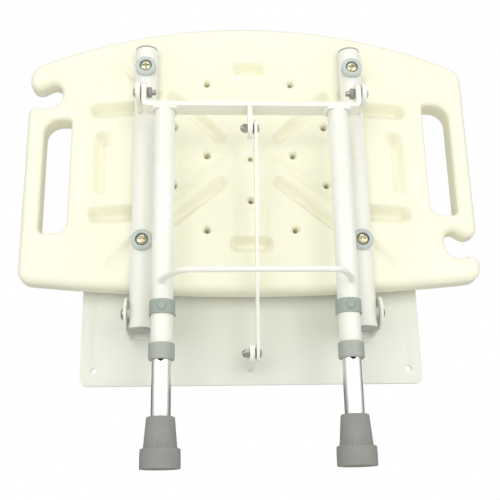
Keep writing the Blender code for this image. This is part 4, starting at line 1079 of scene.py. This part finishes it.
class SHOWERSEAT_OT_extensions(bpy.types.Operator):
    """Draw the sliding tubes, drill their rows of holes and mould their rubber tips"""

    bl_idname = "shower_seat.extensions"
    bl_label = "Leg extensions and tips"

    def execute(self, context):
        for name, node in both("leg_extension"):
            tube = hollow_tube(node, EXTENSION, 0.0012)
            holes = [(middle(node).x, low(node).y, PIN_LEVEL + step * PIN_STEP) for step in range(-2, 5)]
            drill(tube, PIN_BORE, 0.012, holes, "+Y", 28)
            piece(tube, f"sliding_leg_{name}", f"{name}_extension", "bright_aluminium", node)
            self.tip(name, f"rubber_tip_{name}")
        return {"FINISHED"}

    def tip(self, name, node):
        """A rubber ferrule: a tapered neck on a heavy foot, with a ringed sole."""
        tall, foot, flange, seat = extent(node).z, 0.0186, extent(node).x / 2, 0.0052
        neck = [(0.0098, seat), (0.0098, tall - 0.0006), (0.0104, tall), (0.0124, tall),
                (0.0134, tall - 0.0004), (0.0138, tall - 0.0013), (0.0147, tall - 0.0120),
                (0.0160, foot + 0.0022), (0.0163, foot + 0.0009), (0.0168, foot + 0.0001)]
        side = [(flange - 0.0013, foot), (flange - 0.0005, foot - 0.0003),
                (flange - 0.0002, foot - 0.0011), (flange, foot - 0.0060), (flange, 0.0008),
                (flange - 0.0002, 0.0002), (flange - 0.0008, 0)]
        sole = [(0.0150, 0), (0.0146, 0.0008), (0.0126, 0.0008), (0.0122, 0), (0.0090, 0),
                (0.0086, 0.0008), (0.0066, 0.0008), (0.0062, 0), (0, 0)]
        tip = lathe([(0, seat)] + neck + side + sole, 72)
        flutes = [(x, y, foot + 0.0095) for x, y in arc((0, 0), 0.0161, 7.5, 352.5, 23)]
        drill(tip, 0.0007, 0.0150, flutes, "+Z", 10)
        stand(tip, on_line(node, low(node).z))
        piece(tip, f"foot_{name}", f"{name}_extension", "grey_rubber", node)


class SHOWERSEAT_OT_label(bpy.types.Operator):
    """Lay the blank film label round the left leg"""

    bl_idname = "shower_seat.label"
    bl_label = "Blank label"

    def execute(self, context):
        center, start, end = middle("leg_tube_left").xy, 205, 345
        outline = arc(center, LEG_TUBE + 0.0002, start, end, 32)
        outline += arc(center, LEG_TUBE + 0.00002, end, start, 32)
        label = slab(outline, 2, 0.071, 0.073)
        piece(label, "blank_label", "leg_frame", "label_film", slot="white_paint", degrees=45)
        return {"FINISHED"}


class SHOWERSEAT_OT_carried_parts(bpy.types.Operator):
    """Give the parts that stay as they are in the frame their finishes"""

    bl_idname = "shower_seat.carried_parts"
    bl_label = "Small parts"

    def execute(self, context):
        finishes = {"blow_hole_plug": "brass"}
        for name in SIDES:
            finishes[f"tip_washer_{name}"] = "zinc_steel"
            for place in ("inner", "outer"):
                finishes[f"pivot_bush_{place}_{name}"] = "nylon"
        for node, coat in finishes.items():
            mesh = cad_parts[node].data
            mesh.materials.clear()
            mesh.materials.append(look(coat))
        return {"FINISHED"}


# Studio


def area_light(name, watts, size, place):
    """A soft box that looks at the seat."""
    deselect()
    bpy.ops.object.light_add(type="AREA", location=place)
    lamp = bpy.context.object
    lamp.name = name
    lamp.data.shape = "RECTANGLE"
    lamp.data.size, lamp.data.size_y = size
    lamp.data.energy = watts
    lamp.rotation_euler = (Vector((0, 0, 0.1)) - Vector(place)).to_track_quat("-Z", "Y").to_euler()


def choose(tree, ray, otherwise, then):
    """One background for rays of this kind, and the other for the rest."""
    mix = add_node(tree, "MixShader", Fac=ray)
    tree.links.new(otherwise, mix.inputs[1])
    tree.links.new(then, mix.inputs[2])
    return mix.outputs["Shader"]


class SHOWERSEAT_OT_stage(bpy.types.Operator):
    """Set up the camera, the floor, the white surroundings and the soft lights"""

    bl_idname = "shower_seat.stage"
    bl_label = "Studio"

    def execute(self, context):
        self.camera()
        self.floor()
        self.surroundings()
        for name, side in SIDES.items():
            area_light(f"front_{name}", studio().front, (0.9, 1.3), (0.75 * side, -2.0, 0.4))
            area_light(f"side_{name}", studio().sides, (1.0, 1.4), (1.6 * side, -1.3, 0.2))
        area_light("top_light", studio().top, (1.6, 0.8), (0, -1.1, 1.9))
        context.scene.view_settings.view_transform = "Standard"
        return {"FINISHED"}

    def camera(self):
        pitch, yaw, roll = (math.radians(angle) for angle in (18.0, 3.06, -1.11))
        ahead = Vector((math.sin(yaw) * math.cos(pitch), math.cos(yaw) * math.cos(pitch),
                        math.sin(pitch)))
        level = Vector((math.cos(yaw), -math.sin(yaw), 0))
        above = level.cross(ahead)
        turned_level = math.cos(roll) * level + math.sin(roll) * above
        turned_above = math.cos(roll) * above - math.sin(roll) * level
        turn = Matrix((turned_level, turned_above, -ahead)).transposed()
        deselect()
        bpy.ops.object.camera_add()
        camera = bpy.context.object
        camera.name = "photo_camera"
        camera.matrix_world = Matrix.Translation((-0.04780, -0.89205, -0.20550)) @ turn.to_4x4()
        camera.data.sensor_width = 36
        camera.data.lens = studio().lens
        camera.data.clip_start = 0.01
        bpy.context.scene.camera = camera

    def floor(self):
        """A pale floor, which the eye sees a little lighter than the lamps make it."""
        deselect()
        bpy.ops.mesh.primitive_plane_add(size=8, location=(0, -0.5, -0.545))
        floor = bpy.context.object
        floor.name = "studio_floor"
        made = bpy.data.materials.new("floor_white")
        made.use_nodes = True
        tree = made.node_tree
        place = add_node(tree, "TexCoord").outputs["Object"]
        fill(tree, tree.nodes["Principled BSDF"], Roughness=0.6, Emission_Color=(0.26, 0.26, 0.26, 1),
             Emission_Strength=add_node(tree, "LightPath").outputs["Is Camera Ray"],
             Base_Color=drift_colours(tree, place, 3, 2, (0.90, 0.90, 0.89), (0.92, 0.92, 0.91)))
        floor.data.materials.append(made)

    def surroundings(self):
        """White for the eye, a soft box in front for metal, and an even light for the rest."""
        world = bpy.data.worlds.new("studio_world")
        bpy.context.scene.world = world
        world.use_nodes = True
        tree = world.node_tree
        lit = fill(tree, tree.nodes["Background"], Color=(1.0, 0.998, 0.985, 1),
                   Strength=studio().ambient)
        direction = add_node(tree, "TexCoord").outputs["Generated"]
        depth = add_node(tree, "SeparateXYZ", Vector=direction).outputs["Y"]
        white = (1, 1, 1, 1)
        strength = remap(tree, depth, 1.0, 0.14, -0.12, 0.42)
        seen = add_node(tree, "Background", Color=white)
        mirrored = add_node(tree, "Background", Color=white, Strength=strength)
        path = add_node(tree, "LightPath").outputs
        lit_or_mirrored = choose(tree, path["Is Glossy Ray"], lit.outputs[0], mirrored.outputs[0])
        fill(tree, tree.nodes["World Output"],
             Surface=choose(tree, path["Is Camera Ray"], lit_or_mirrored, seen.outputs[0]))


OPERATORS = (SHOWERSEAT_OT_board, SHOWERSEAT_OT_seat_tubes, SHOWERSEAT_OT_seat_fixings,
             SHOWERSEAT_OT_wall_plate, SHOWERSEAT_OT_brackets, SHOWERSEAT_OT_pivot_tabs,
             SHOWERSEAT_OT_pivots, SHOWERSEAT_OT_leg_frame, SHOWERSEAT_OT_handle, SHOWERSEAT_OT_link,
             SHOWERSEAT_OT_leg_bushes, SHOWERSEAT_OT_height_clips, SHOWERSEAT_OT_extensions,
             SHOWERSEAT_OT_label, SHOWERSEAT_OT_carried_parts, SHOWERSEAT_OT_stage)
STEPS = [operator.bl_idname.split(".")[1] for operator in OPERATORS]


class SHOWERSEAT_PT_panel(bpy.types.Panel):
    """Sizes, colours and the steps of the build"""

    bl_idname = "SHOWERSEAT_PT_panel"
    bl_label = "Folding Shower Seat"
    bl_space_type = "VIEW_3D"
    bl_region_type = "UI"
    bl_category = "Shower Seat"

    def draw(self, context):
        layout = self.layout
        for title, group in (("Sizes", sizes()), ("Colours", colours()), ("Studio", studio())):
            box = layout.box()
            box.label(text=title)
            for prop in type(group).__annotations__:
                box.prop(group, prop)
        steps = layout.column(align=True)
        for step in STEPS:
            steps.operator(f"shower_seat.{step}")


GROUPS = {"seat_sizes": SeatSizes, "seat_colours": SeatColours, "seat_studio": StudioSettings}
CLASSES = (*GROUPS.values(), *OPERATORS, SHOWERSEAT_PT_panel)


def register():
    for cls in CLASSES:
        bpy.utils.register_class(cls)
    for name, group in GROUPS.items():
        setattr(bpy.types.Scene, name, PointerProperty(type=group))


def unregister():
    for name in GROUPS:
        delattr(bpy.types.Scene, name)
    for cls in reversed(CLASSES):
        bpy.utils.unregister_class(cls)


def main():
    """Builds every piece and the stage."""
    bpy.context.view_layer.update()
    register()
    for step in STEPS:
        getattr(bpy.ops.shower_seat, step)()
    deselect()


if __name__ == "__main__":
    main()
